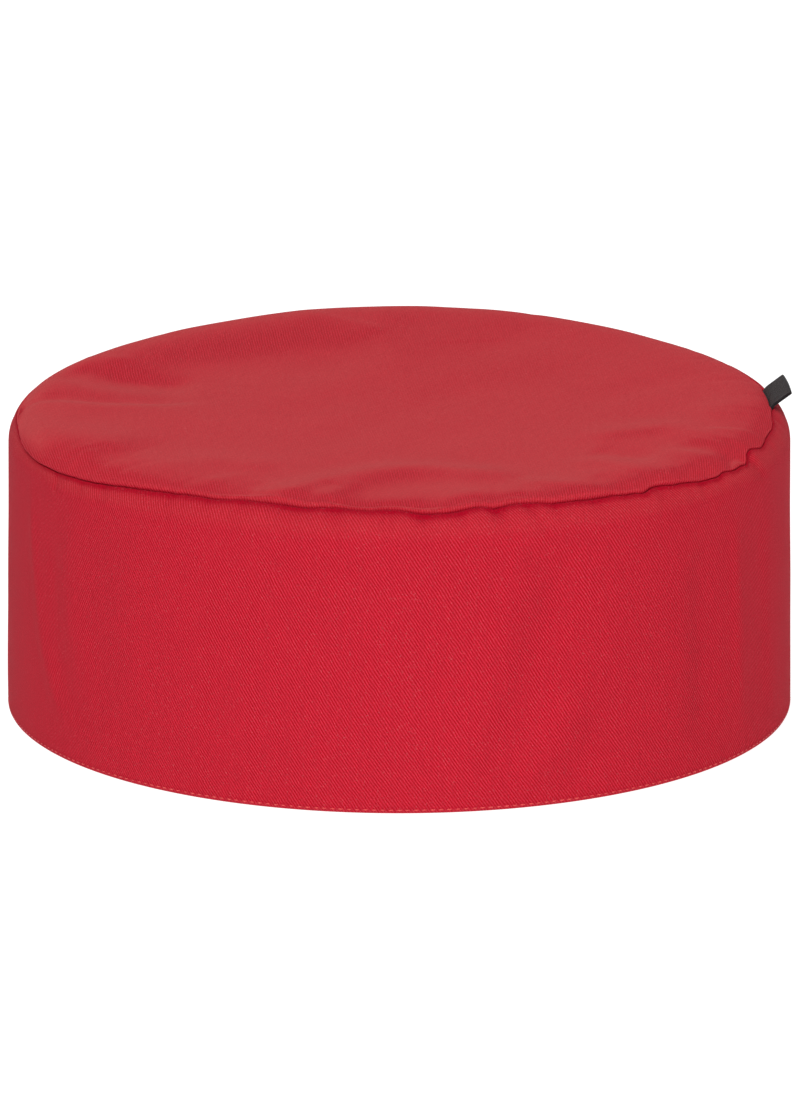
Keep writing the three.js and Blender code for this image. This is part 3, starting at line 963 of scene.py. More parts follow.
class Effects:
    """The node groups that several finishes use, each built once."""

    def __init__(self) -> None:
        """Builds the groups."""
        self.twill = self._twill()
        self.lint = self._lint()
        self.rubbed = self._rubbed()

    def _twill(self) -> bpy.types.NodeTree:
        """Builds a two-over-one twill: each warp thread shows for two wefts and dives under the third.

        Returns:
            The group, which gives the relief, the hollows and the yarns' unevenness.
        """
        b = Group(
            "twill_weave",
            {"Cloth": None, "Warp Pitch": 0.265, "Weft Pitch": 0.422},
            ("Relief", "Hollow", "Yarn"),
        )
        x, y = b.split(b.get["Cloth"])
        across = b.math("DIVIDE", x, b.get["Warp Pitch"])
        along = b.math("DIVIDE", y, b.get["Weft Pitch"])
        thread = b.math("FLOOR", across)
        side = b.math("FRACT", across)
        round_off = b.math("MULTIPLY", b.math("MULTIPLY", side, b.math("SUBTRACT", 1.0, side)), 4.0)
        wander = b.math("MULTIPLY_ADD", b.noise(b.get["Cloth"], 0.22), 5.0, -2.5)  # in radians
        phase = b.math("MULTIPLY_ADD", b.math("ADD", thread, along), 2.0 * np.pi / 3.0, wander)
        shown = b.math("MULTIPLY_ADD", b.math("COSINE", phase), 0.62, 0.5, clamp=True)
        body = b.math("MULTIPLY_ADD", round_off, 0.45, 0.55)
        stretch = b.node("ShaderNodeCombineXYZ")
        b.feed(stretch, X=thread, Y=b.math("MULTIPLY", y, 0.3))
        b.feed(
            b.out,
            Relief=b.math("MULTIPLY", shown, body),
            Hollow=b.math("SUBTRACT", 1.0, shown, clamp=True),
            Yarn=b.noise(stretch.outputs[0], 0.55, 1.0),
        )
        return b.tree

    def _lint(self) -> bpy.types.NodeTree:
        """Builds fine fibre ends that stand on a cloth, as pale specks, and a slow drift of its colour.

        Returns:
            The group.
        """
        b = Group("lint_and_drift", {"Place": None, "Fineness": 2600.0}, ("Specks", "Drift"))
        fine = b.noise(b.get["Place"], b.get["Fineness"], 1.0)
        b.feed(b.out, Specks=b.spread(fine, 0.62, 0.78), Drift=b.noise(b.get["Place"], 42.0, 4.0, 0.6))
        return b.tree

    def _rubbed(self) -> bpy.types.NodeTree:
        """Builds wear along edges, broken up by a fine noise.

        Returns:
            The group.
        """
        b = Group("rubbed_edges", {"Wear": 0.0, "Place": None, "Fineness": 900.0}, ("Rubbed",))
        broken = b.spread(b.noise(b.get["Place"], b.get["Fineness"]), 0.35, 0.7, 0.35, 1.0)
        b.feed(b.out, Rubbed=b.math("MULTIPLY", b.get["Wear"], broken, clamp=True))
        return b.tree


class Surface(Bench):
    """A material in the making, with its shader, what it reads from the piece, and the shared effects."""

    def __init__(self, name: str, roughness: float, **shader_inputs: object) -> None:
        """Starts the material.

        Args:
            name: Its name.
            roughness: Its roughness.
            **shader_inputs: More of the shader's inputs.
        """
        self.material = bpy.data.materials.new(name)
        self.material.use_nodes = True
        self.material.node_tree.nodes.clear()
        super().__init__(self.material.node_tree)
        self.shader = self.node("ShaderNodeBsdfPrincipled")
        self.feed(self.node("ShaderNodeOutputMaterial"), Surface=self.shader.outputs["BSDF"])
        self.feed(self.shader, Roughness=roughness, **shader_inputs)
        self.place = self.node("ShaderNodeTexCoord").outputs["Object"]

    def cloth(self) -> Socket:
        """The cloth coordinates."""
        return self.node("ShaderNodeUVMap", uv_map=CLOTH_MAP).outputs["UV"]

    def mark(self, name: str) -> Socket:
        """What a point attribute says."""
        return self.node("ShaderNodeAttribute", attribute_name=name).outputs["Fac"]

    def over(self, colour: Socket, mask: Socket, share: float, tint: Colour) -> Socket:
        """A colour with a share of a tint laid over it where a mask is bright."""
        return self.mix(self.math("MULTIPLY", mask, share), colour, tint)

    def finished(
        self, colour: Socket, relief: Socket, height: float, strength: object = 1.0
    ) -> bpy.types.Material:
        """Gives the shader its colour and its relief.

        Args:
            colour: The colour.
            relief: The relief.
            height: How high the relief stands, in metres.
            strength: How strongly it shows, from 0 to 1.

        Returns:
            The material.
        """
        bump = self.feed(self.node("ShaderNodeBump"), Strength=strength, Distance=height, Height=relief)
        self.feed(self.shader, Base_Color=colour, Normal=bump.outputs["Normal"])
        return self.material


@dataclass(frozen=True)
class TwillFinish:
    """Dyed cotton twill: diagonal ribs, pits between the floats darkened as painted shade, a pale
    painted sheen where the cloth faces up or aside, and pale bloom at a low angle.
    """

    name: str
    rib: Colour = (0.585, 0.0245, 0.052)
    # the colour of the weave's hollows, darkened as painted shade
    pit: Colour = (0.35, 0.0003, 0.001)
    # the colour of the painted shade in the seams, at the rim's fold and along the hem
    deep: Colour = (0.37, 0.001, 0.014)
    # the pale colour of the painted sheen
    sheen_colour: Colour = (0.55, 0.058, 0.0625)
    bloom: Colour = (1.0, 0.62, 0.62)
    speck: Colour = (0.9, 0.5, 0.5)
    worn: Colour = (0.9, 0.4, 0.4)
    sheen: float = 0.03
    sheen_roughness: float = 0.45
    gloss: float = 0.04
    roughness: float = 0.82
    relief: float = 0.00012
    pit_share: float = 0.85
    sheen_share: float = 0.95
    sheen_on_ribs: float = 0.1
    grain_share: float = 0.07
    yarn_share: float = 0.035
    drift_share: float = 0.015
    patch_share: float = 0.15
    speck_share: float = 0.08
    worn_share: float = 0.1
    # how much the painted sheen hides the weave's hollows and relief
    sheen_cover: float = 0.8
    sheen_cover_from: tuple[float, float] = (0.15, 0.6)
    patch_fineness: float = 900.0
    grain_fineness: float = 1.9
    warp_pitch: float = 0.265
    weft_pitch: float = 0.422

    def material(self, effects: Effects) -> bpy.types.Material:
        """Makes the material.

        Args:
            effects: The shared effects.

        Returns:
            The material.
        """
        b = Surface(
            self.name,
            self.roughness,
            Specular_IOR_Level=self.gloss,
            Sheen_Weight=self.sheen,
            Sheen_Roughness=self.sheen_roughness,
            Sheen_Tint=rgba(self.bloom),
        )
        cloth, place, painted_sheen = b.cloth(), b.place, b.mark(PAINTED_SHEEN)
        weave = b.use(effects.twill, Cloth=cloth, Warp_Pitch=self.warp_pitch, Weft_Pitch=self.weft_pitch)
        lint = b.use(effects.lint, Place=place)
        rubbed = b.use(effects.rubbed, Wear=b.mark(WEAR), Place=place)
        # The painted sheen hides the weave's hollows and relief.
        sheen_cover = b.spread(painted_sheen, *self.sheen_cover_from, 1.0, 1.0 - self.sheen_cover)
        hollow = b.math("MULTIPLY_ADD", b.math("SUBTRACT", weave["Hollow"], 0.5), sheen_cover, 0.5)
        # Painted shade in the weave's hollows.
        bare = b.mix(b.math("MULTIPLY", hollow, self.pit_share), self.rib, self.pit)
        patchy = self._about_one(b, b.noise(place, self.patch_fineness), self.patch_share)
        # Painted sheen: a pale colour laid on where the cloth faces up or aside, less in the hollows.
        topped = b.math("MULTIPLY_ADD", hollow, -self.sheen_on_ribs, 1.0)
        lifted = b.math("MULTIPLY", b.math("MULTIPLY", painted_sheen, self.sheen_share), topped)
        sheened = b.mix(b.math("MULTIPLY", lifted, patchy, clamp=True), bare, self.sheen_colour)
        # Painted shade in the seams, at the rim's fold and along the hem.
        colour = b.mix(b.mark(PAINTED_SHADE), sheened, self.deep)
        yarn = self._about_one(b, weave["Yarn"], self.yarn_share)
        drift = self._about_one(b, lint["Drift"], self.drift_share)
        grain = self._about_one(b, b.noise(cloth, self.grain_fineness, 1.0), self.grain_share)
        shade = b.node("ShaderNodeVectorMath", operation="SCALE")
        b.feed(shade, Vector=colour, Scale=b.math("MULTIPLY", b.math("MULTIPLY", yarn, drift), grain))
        pale = b.over(shade.outputs[0], lint["Specks"], self.speck_share, self.speck)
        worn = b.over(pale, rubbed["Rubbed"], self.worn_share, self.worn)
        return b.finished(worn, weave["Relief"], self.relief, sheen_cover)

    @staticmethod
    def _about_one(b: Bench, noise: Socket, share: float) -> Socket:
        """A noise's usual range stretched to a share either side of 1."""
        return b.spread(noise, 0.3, 0.7, 1.0 - share, 1.0 + share)


@dataclass(frozen=True)
class RibbonFinish:
    """Black woven ribbon with fine ribs across it, their crests painted lighter as highlight."""

    name: str
    colour: Colour = (0.011, 0.0088, 0.0097)
    speck: Colour = (0.2, 0.18, 0.19)
    worn: Colour = (0.12, 0.11, 0.115)
    # how much lighter the ribs' crests are painted, as highlight
    rib_highlight_gain: float = 1.35
    rib_pitch: float = 0.34
    warp_share: float = 0.6
    warp_relief: float = 0.35
    tallest: float = 1.3
    fineness: float = 5200.0
    speck_share: float = 0.12
    worn_share: float = 0.2
    gloss: float = 0.3
    sheen: float = 0.03
    sheen_roughness: float = 0.4
    roughness: float = 0.5
    relief: float = 0.00006

    def material(self, effects: Effects) -> bpy.types.Material:
        """Makes the material.

        Args:
            effects: The shared effects.

        Returns:
            The material.
        """
        b = Surface(
            self.name,
            self.roughness,
            Specular_IOR_Level=self.gloss,
            Sheen_Weight=self.sheen,
            Sheen_Roughness=self.sheen_roughness,
        )
        lint = b.use(effects.lint, Place=b.place, Fineness=self.fineness)
        rubbed = b.use(effects.rubbed, Wear=b.mark(WEAR), Place=b.place)
        x, y = b.split(b.cloth())
        ribs = b.math("SINE", b.math("MULTIPLY", y, 2 * np.pi / self.rib_pitch))
        warp = b.math("SINE", b.math("MULTIPLY", x, 2 * np.pi / (self.warp_share * self.rib_pitch)))
        relief = b.math("MULTIPLY_ADD", warp, self.warp_relief, ribs)
        # Painted highlight: the ribs' crests lighter where the relief stands high.
        light = tuple(self.rib_highlight_gain * part for part in self.colour)
        colour = b.mix(b.spread(relief, -self.tallest, self.tallest), self.colour, light)
        pale = b.over(colour, lint["Specks"], self.speck_share, self.speck)
        return b.finished(b.over(pale, rubbed["Rubbed"], self.worn_share, self.worn), relief, self.relief)


@dataclass(frozen=True)
class ThreadFinish:
    """Sewing thread: two plies twisted together, a little glossier than the cloth."""

    name: str
    colour: Colour = (0.78, 0.062, 0.058)
    shade: Colour = (0.56, 0.03, 0.03)
    speck: Colour = (1.0, 0.6, 0.55)
    ply_pitch: float = 0.55
    speck_share: float = 0.1
    sheen: float = 0.1
    roughness: float = 0.5
    relief: float = 0.00008

    def material(self, effects: Effects) -> bpy.types.Material:
        """Makes the material.

        Args:
            effects: The shared effects.

        Returns:
            The material.
        """
        b = Surface(self.name, self.roughness, Sheen_Weight=self.sheen)
        lint = b.use(effects.lint, Place=b.place)
        x, y = b.split(b.cloth())
        twist = b.math("ADD", b.math("DIVIDE", x, self.ply_pitch), y)
        ply = b.math("ABSOLUTE", b.math("SINE", b.math("MULTIPLY", twist, np.pi)))
        colour = b.mix(ply, self.shade, self.colour)
        return b.finished(b.over(colour, lint["Specks"], self.speck_share, self.speck), ply, self.relief)


# ---- The pieces --------------------------------------------------------------------------------
Place = tuple[Array, Array, float, float]  # radius, height, wear and painted shade of a ring that isn't made yet


class Hem(Enum):
    """The two faces of the folded rim that its edge stitching shows on."""

    OUTSIDE = 1
    INSIDE = -1


@dataclass
class SideBand:
    """The tall wall: a strip of twill folded along the rim, with its two layers side by side.

    Lengths are in mm. A pair is a start and a span that something comes in over.
    """

    shape: CapShape
    columns: int = 720
    ply: float = 0.65
    air: float = 0.3
    roll_share: float = 0.55
    wall_rows: int = 44
    shoulder_rows: int = 14
    inner_rows: int = 22
    inner_shoulder_rows: int = 5
    hidden_rows: int = 5
    hidden_shoulder_rows: int = 3
    fold_rows: int = 5
    hidden_fold_rows: int = 3
    fold_flatness: float = 0.8
    fold_wear: float = 0.3
    # painted shade at the rim's fold
    fold_painted_shade: float = 0.25
    back_seam_width: float = 0.55
    back_seam_depth: float = 0.6
    back_seam_foot: float = 3.0
    back_seam_top: tuple[float, float] = (70.0, 5.0)
    back_ridge_height: float = 0.18
    back_ridge_place: float = 2.2
    back_ridge_width: float = 1.3
    weft_crowding: float = 0.12
    crowding_below: float = 26.0
    crowding_span: float = 14.0
    hem_height: float = 0.9
    hem_pinch: float = 0.16
    # painted shade along the hem's stitching
    hem_painted_shade: float = 0.5
    hem_width: float = 0.5
    hem_rows: tuple[float, ...] = (0.5, 0.9, 1.35)
    above_hem: float = 0.6
    pull_span: float = 1.2
    pull_at_seam: float = 0.35
    sink_width: float = 2.4
    shade: float = 0.9
    shade_gain: float = 0.1
    shade_from: float = 0.2
    shade_reach: tuple[float, float] = (0.3, 0.85)
    pucker_shade: float = 0.6
    # how far the painted shade below the seam fades towards the back
    shade_fade_behind: float = 0.9
    shade_fade_from: tuple[float, float] = (90.0, 12.0)
    edge_sink: float = 0.35
    edge_ease: float = 0.6

    def build(self, material: bpy.types.Material) -> bpy.types.Object:
        """Builds the band.

        Args:
            material: Its finish.

        Returns:
            The piece.
        """
        mesh = ClothMesh()
        rings = [mesh.add(ring) for ring in self._rings(all_round(self.columns))]
        for a, b in zip(rings, rings[1:] + rings[:1]):
            mesh.join(a, b)
        return mesh.build("band_cloth", PaintedSheen(fades_to_front=False), material)

    @property
    def thickness(self) -> float:
        """The two layers and the air between them, in mm."""
        return 2 * self.ply + self.air

    def _rings(self, azimuth: Array) -> list[Ring]:
        """The rings of the whole section, from the fold up the outside and back down the inside.

        Args:
            azimuth: The columns.

        Returns:
            The rings.
        """
        outer = self._face(azimuth, 0.0, self.wall_rows, self.shoulder_rows, 1.0)
        hidden = (self.hidden_rows, self.hidden_shoulder_rows)
        hidden_out = self._face(azimuth, self.ply, *hidden, 1.0)
        hidden_in = self._face(azimuth, self.ply + self.air, *hidden, -1.0)
        inner = self._face(azimuth, self.thickness, self.inner_rows, self.inner_shoulder_rows, -1.0)
        return outer + hidden_out[::-1] + hidden_in + inner[::-1]

    def _face(self, azimuth: Array, inside: float, rows: int, shoulder_rows: int, side: float) -> list[Ring]:
        """One face of one layer, from the middle of the fold up to the cut edge.

        Args:
            azimuth: The columns.
            inside: How far the face lies inside the outer one.
            rows: Rings up the wall.
            shoulder_rows: Rings over the shoulder.
            side: 1 on the outer layer and -1 on the inner one.

        Returns:
            The rings.
        """
        shape, seam = self.shape, self.shape.seam(azimuth)
        shown = inside in (0.0, self.thickness)
        half = self.thickness / 2
        bend = abs(half - inside)
        places: list[Place] = []
        # The fold gets painted shade, and so does the hem along its stitching.
        for angle in arc_steps(-np.pi / 2, 0.0, self.fold_rows)[: None if shown else self.hidden_fold_rows]:
            flat = np.sign(np.cos(angle)) * np.abs(np.cos(angle)) ** self.fold_flatness
            radius = np.full_like(azimuth, shape.rim_radius - half + side * bend * flat)
            places.append((radius, half + bend * np.sin(angle), self.fold_wear, self.fold_painted_shade))
        if shown:
            steps = [height / (shape.shoulder_base - half) for height in self.hem_rows]
            first = (self.hem_rows[-1] + self.above_hem) / shape.shoulder_base
        else:
            steps, first = [], 1.0 / rows
        for t in steps + arc_steps(first, 1.0, rows):
            height = half + t * (seam.centre_z - half)
            sewn = bell(height - self.hem_height, self.hem_width) if shown else 0.0
            radius = shape.wall_radius(azimuth, height) - inside
            places.append((radius - side * self.hem_pinch * sewn, height, 0.0, self.hem_painted_shade * sewn))
        places += self._shoulder(azimuth, seam, inside, shoulder_rows)
        return self._laid_out(azimuth, places, side)

    def _shoulder(self, azimuth: Array, seam: Seam, inside: float, rows: int) -> list[Place]:
        """The stretch of a face from the foot of the shoulder to the cut edge.

        Args:
            azimuth: The columns.
            seam: The crown seam at them.
            inside: How far the face lies inside the outer one.
            rows: Rings over the shoulder.

        Returns:
            The places of its rings.
        """
        shape = self.shape
        foot = shape.wall_rise(azimuth, seam.centre_z)
        radius = shape.shoulder_radius - inside
        outermost = inside == 0.0
        roll = self.roll_share * seam.roll if outermost else 0.0
        distance = seam.half_gap + (roll if outermost else inside)
        depth = np.sqrt((radius - roll) ** 2 - distance**2)
        lean = np.arctan2(distance, depth)
        end = seam.angle - lean
        behind = self.shade_fade_behind * ramp(np.abs(azimuth), *self.shade_fade_from)
        # Painted shade below the seam and in its puckers, faded towards the back; the turned-in rows get it
        # in full.
        shade = self.shade * smooth(seam.roll + self.shade_gain) * (1 - behind)
        reach = self.shade_reach[0] + self.shade_reach[1] * seam.roll
        sink = shape.seam_tuck * seam.roll
        places: list[Place] = []
        for t in arc_steps(0.0, 1.0, rows + 1)[1:]:
            angle = end * t
            past = (end - angle) * shape.shoulder_radius
            pull = shape.pull(azimuth, past)
            rise = foot * (1 - smooth(t)) - pull * smooth(past / self.pull_span + self.pull_at_seam)
            rise = rise - sink * bell(past, self.sink_width)
            fade = ramp(past, self.shade_from, reach)
            painted_shade = np.clip(shade * (1 - fade) + self.pucker_shade * pull, 0.0, 1.0) if outermost else 0.0
            places.append((*seam.on_roll(angle, radius + rise), 0.0, painted_shade))
        if outermost:
            sunk = shape.pull(azimuth, np.zeros_like(azimuth)) * self.edge_sink + sink
            for t in (0.33, 0.66, 1.0):
                a = lean - (lean + np.pi / 2) * t
                spot = seam.at(depth + roll * np.cos(a) - sunk, -(distance + roll * np.sin(a)))
                places.append((*spot, 0.0, 1.0 - behind * (1.0 - t)))
        cut = shape.shoulder_radius - shape.allowance
        for t in (0.5, 1.0):
            ease = self.edge_ease * roll * (1 - t)
            spot = seam.at(depth + (cut - depth) * t - ease, -(seam.half_gap + inside))
            places.append((*spot, 0.0, 1.0))
        return places

    def _laid_out(self, azimuth: Array, places: list[Place], side: float) -> list[Ring]:
        """Draws the back seam in and measures the cloth from ring to ring.

        Args:
            azimuth: The columns.
            places: The places of the rings.
            side: 1 on the outer layer and -1 on the inner one.

        Returns:
            The rings.
        """
        u = np.append(azimuth, 180.0) * self.shape.arc
        back = np.abs(turn(azimuth, 180.0)) * self.shape.arc
        seam = self.back_seam_depth * bell(back, self.back_seam_width)
        seam = seam - self.back_ridge_height * bell(back - self.back_ridge_place, self.back_ridge_width)
        rings = []
        v = np.zeros_like(azimuth)
        last = None
        for radius, height, wear, painted_shade in places:
            height = np.broadcast_to(height, azimuth.shape).astype(float)
            groove = seam * smooth(height / self.back_seam_foot) * (1 - ramp(height, *self.back_seam_top))
            radius = radius - side * groove
            if last is not None:
                low = smooth((self.crowding_below - height) / self.crowding_span)
                v = v + (1.0 + self.weft_crowding * low) * np.hypot(radius - last[0], height - last[1])
            last = (radius, height)
            cloth = np.stack([u, side * np.append(v, v[0])], 1)
            rings.append(Ring(polar(azimuth, radius, height), cloth, wear, painted_shade))
        return rings


@dataclass
class CrownPanel:
    """The round top: one layer, dished and creased, rolled over its edge and turned in at the seam.

    Lengths are in mm. A pair is a start and a span that something comes in over.
    """

    shape: CapShape
    columns: int = 720
    least_columns: int = 45
    whole_from: float = 48.0
    ply: float = 0.75
    grain: float = 25.7
    ring_step: float = 1.15
    edge_width: float = 3.0
    bend_rows: int = 7
    roll_rows: int = 9
    least_roll: float = 0.12
    roll_wear: float = 0.1
    worn_part: tuple[float, float] = (0.1, 0.6)
    # where painted shade comes in on the roll's underside
    painted_shade_from: tuple[float, float] = (0.6, 0.3)
    edge_fade: float = 0.8
    lowest_edge: float = -2.2
    back_lift: float = 1.8
    back_from: tuple[float, float] = (88.0, 8.0)
    slope_step: float = 0.5

    def build(self, material: bpy.types.Material) -> bpy.types.Object:
        """Builds the crown.

        Args:
            material: Its finish.

        Returns:
            The piece.
        """
        mesh = ClothMesh()
        rings = [mesh.add(ring) for ring in self._rings(0.0) + self._rings(self.ply)[::-1]]
        for a, b in zip(rings, rings[1:]):
            mesh.join(a, b)
        middle = self.shape.top_height + float(self.shape.crown_rise(np.zeros(1), np.zeros(1))[0])
        mesh.cap(rings[0], np.array([0.0, 0.0, middle]), np.zeros(2), reverse=True)
        mesh.cap(rings[-1], np.array([0.0, 0.0, middle - self.ply]), np.zeros(2), reverse=False)
        return mesh.build("crown_cloth", PaintedSheen(fades_to_front=True), material)

    def _columns(self, radius: float) -> int:
        """How many points a ring has: half as many for each halving of its radius.

        Args:
            radius: The ring's radius.

        Returns:
            The count.
        """
        count, limit = self.columns, self.whole_from
        while radius < limit and count > self.least_columns:
            count //= 2
            limit /= 2
        return count

    def _rings(self, inside: float) -> list[Ring]:
        """The rings of the upper or the lower face, from the middle out to the cut edge.

        Args:
            inside: How far the face lies under the upper one.

        Returns:
            The rings.
        """
        shape = self.shape
        flat = shape.centre_r - self.edge_width
        rings = []
        for radius in np.linspace(0.0, flat, int(flat / self.ring_step))[1:]:
            azimuth = all_round(self._columns(radius))
            height = shape.top_height + shape.crown_rise(*flat_place(azimuth, radius)) - inside
            rings.append(self._ring(azimuth, radius, height, radius, 0.0, 0.0))
        return rings + self._edge(all_round(self.columns), inside, rings[-1])

    def _edge(self, azimuth: Array, inside: float, before: Ring) -> list[Ring]:
        """The stretch from the flat part over the roll and down to the cut edge.

        Args:
            azimuth: The columns.
            inside: How far the face lies under the upper one.
            before: The flat part's last ring.

        Returns:
            The rings.
        """
        shape, seam = self.shape, self.shape.seam(azimuth)
        x, y = flat_place(azimuth, shape.centre_r)
        edge = shape.crown_rise(x, y) - (seam.centre_z - shape.shoulder_base)
        edge = np.maximum(edge, self.lowest_edge + self.back_lift * ramp(np.abs(azimuth), *self.back_from))
        roll = np.maximum(seam.roll - inside, self.least_roll)
        distance = seam.half_gap + inside + roll
        depth = np.sqrt((shape.shoulder_radius - inside - roll) ** 2 - distance**2)
        lean = np.arctan2(distance, depth)
        leave = seam.angle + lean
        start_r = np.hypot(before.points[:, 0], before.points[:, 1])
        start_z = before.points[:, 2]
        end_r, end_z = seam.on_roll(leave, shape.shoulder_radius - inside + edge)
        span = end_r - start_r
        within = (start_r - self.slope_step) / shape.centre_r
        slope = shape.crown_rise(x / shape.centre_r * start_r, y / shape.centre_r * start_r)
        slope = (slope - shape.crown_rise(x * within, y * within)) / self.slope_step
        places: list[Place] = []
        for t in arc_steps(0.0, 1.0, self.bend_rows)[1:]:
            height = eased(t, start_z, slope * span, end_z, -span / np.tan(leave))
            places.append((start_r + span * t, height, 0.0, 0.0))
        # The roll gets painted shade on its underside, and the turned-in rows get it in full.
        for t in arc_steps(0.0, 1.0, self.roll_rows)[1:]:
            a = lean - (lean + np.pi / 2) * t
            full = roll + edge * (1 - smooth(t / self.edge_fade))
            spot = seam.at(depth + full * np.cos(a), distance + full * np.sin(a))
            wear = self.roll_wear if self.worn_part[0] < t < self.worn_part[1] else 0.0
            places.append((*spot, wear, float(ramp(t, *self.painted_shade_from))))
        cut = shape.shoulder_radius - shape.allowance
        for t in (0.5, 1.0):
            places.append((*seam.at(depth + (cut - depth) * t, seam.half_gap + inside), 0.0, 1.0))
        rings = []
        last = (start_r, start_z)
        run = np.hypot(*before.cloth[:-1].T)
        for radius, height, wear, painted_shade in places:
            run = run + np.hypot(radius - last[0], height - last[1])
            last = (radius, height)
            rings.append(self._ring(azimuth, radius, height, run, wear, painted_shade))
        return rings

    def _ring(
        self, azimuth: Array, radius: Array, height: Array, run: Array, wear: float, painted_shade: float
    ) -> Ring:
        """A ring whose cloth coordinates follow the cloth's grain, turned from the cap's front.

        Args:
            azimuth: The columns.
            radius: The ring's radius.
            height: Its height.
            run: How far it lies from the middle, along the cloth.
            wear: How rubbed it is.
            painted_shade: How much painted shade it gets.

        Returns:
            The ring.
        """
        grain = np.radians(self.grain)
        x, y = flat_place(azimuth, run)
        u = x * np.cos(grain) - y * np.sin(grain)
        v = x * np.sin(grain) + y * np.cos(grain)
        cloth = np.stack([np.append(u, u[0]), np.append(v, v[0])], 1)
        return Ring(polar(azimuth, radius, height), cloth, wear, painted_shade)


@dataclass
class LabelTab:
    """A short ribbon folded in half, with its two ends caught in the crown seam.

    Lengths are in mm and the lean is in degrees.
    """

    shape: CapShape
    ply: float = 0.3
    slit: float = 0.16
    tail: float = 4.5
    reach: float = 6.0
    bend: float = 1.3
    lean: float = 21.0
    curl: float = 0.25
    across_steps: int = 24
    length_steps: int = 16
    fold_steps: int = 9
    fold_pace: float = 0.4
    fold_run: float = 1.2
    worn_edge: tuple[float, float] = (0.9, 0.1)
    sharp_angle: float = 50.0

    def build(self, material: bpy.types.Material) -> bpy.types.Object:
        """Builds the label.

        Args:
            material: Its finish.

        Returns:
            The piece.
        """
        outer, inner = self._outline(self.slit / 2 + self.ply), self._outline(self.slit / 2)
        outline = outer + inner[::-1]
        shares = np.linspace(-1.0, 1.0, self.across_steps + 1)
        width, lines = len(shares), len(outline)
        aside = shares * self.shape.label_width / 2
        points = [self._across(place, shares) for place, _ in outline]
        cloth = np.vstack([np.stack([aside, np.full_like(shares, run)], 1) for _, run in outline])
        faces = []
        for j in range(lines):
            a, b = j * width, (j + 1) % lines * width
            faces += [(a + i, a + i + 1, b + i + 1, b + i) for i in range(width - 1)]
        for j in range(len(outer) - 1):
            ring = (j, j + 1, lines - 2 - j, lines - 1 - j)
            faces.append(tuple(n * width for n in ring))
            faces.append(tuple(n * width + width - 1 for n in ring[::-1]))
        corners = [cloth[point] for face in faces for point in face]
        edge = np.tile(ramp(np.abs(shares), *self.worn_edge), lines)
        mesh = new_mesh("label_ribbon", points, faces, corners, {WEAR: edge})
        mesh.set_sharp_from_angle(angle=np.radians(self.sharp_angle))
        return dressed(mesh, material)

    def _outline(self, offset: float) -> list[tuple[tuple[float, float], float]]:
        """One face of the doubled ribbon.

        Args:
            offset: How far the face lies from the ribbon's middle.

        Returns:
            For each line across it ((reach out of the seam, offset), distance along the ribbon).
        """
        end = self.reach - self.ply - self.slit / 2
        total = self.tail + end
        reaches = arc_steps(-self.tail, end, self.length_steps)
        there = [((reach, offset), reach + self.tail) for reach in reaches]
        around = [
            ((end + offset * np.sin(angle), offset * np.cos(angle)), total + self.fold_pace * angle)
            for angle in arc_steps(0.0, np.pi, self.fold_steps)[1:-1]
        ]
        whole = 2 * total + self.fold_run
        back = [((reach, -offset), whole - (reach + self.tail)) for reach in reversed(reaches)]
        return there + around + back

    def _across(self, place: tuple[float, float], shares: Array) -> Array:
        """The points of one line across the ribbon.

        Args:
            place: Its reach out of the seam and its offset.
            shares: Where they lie across the ribbon, from -1 to 1.

        Returns:
            The points.
        """
        shape = self.shape
        reach, offset = place
        root_r = shape.rim_radius - float(round_table(SEAM_LINE, "inset", np.array([shape.label_azimuth]))[0])
        azimuth = shape.label_azimuth + shares * (shape.label_width / 2 / root_r / np.radians(1.0))
        seam = shape.seam(azimuth)
        radius = self.bend / np.radians(self.lean)
        curl = self.curl * shares**2 * max(reach, 0.0) / self.reach
        angle = np.radians(self.lean) * np.clip(reach / self.bend, 0.0, 1.0)
        spare = reach - radius * angle
        ahead, across = seam.angle - angle, seam.angle - angle + np.pi / 2
        r, z = seam.at(shape.shoulder_radius + radius * np.sin(angle), -radius * (1 - np.cos(angle)))
        r = r + spare * np.cos(ahead) + (offset - curl) * np.cos(across)
        z = z + spare * np.sin(ahead) + (offset - curl) * np.sin(across)
        root = polar(azimuth, np.full_like(azimuth, root_r), z)
        return root + polar(np.full_like(azimuth, shape.label_azimuth), r - root_r, np.zeros_like(z))


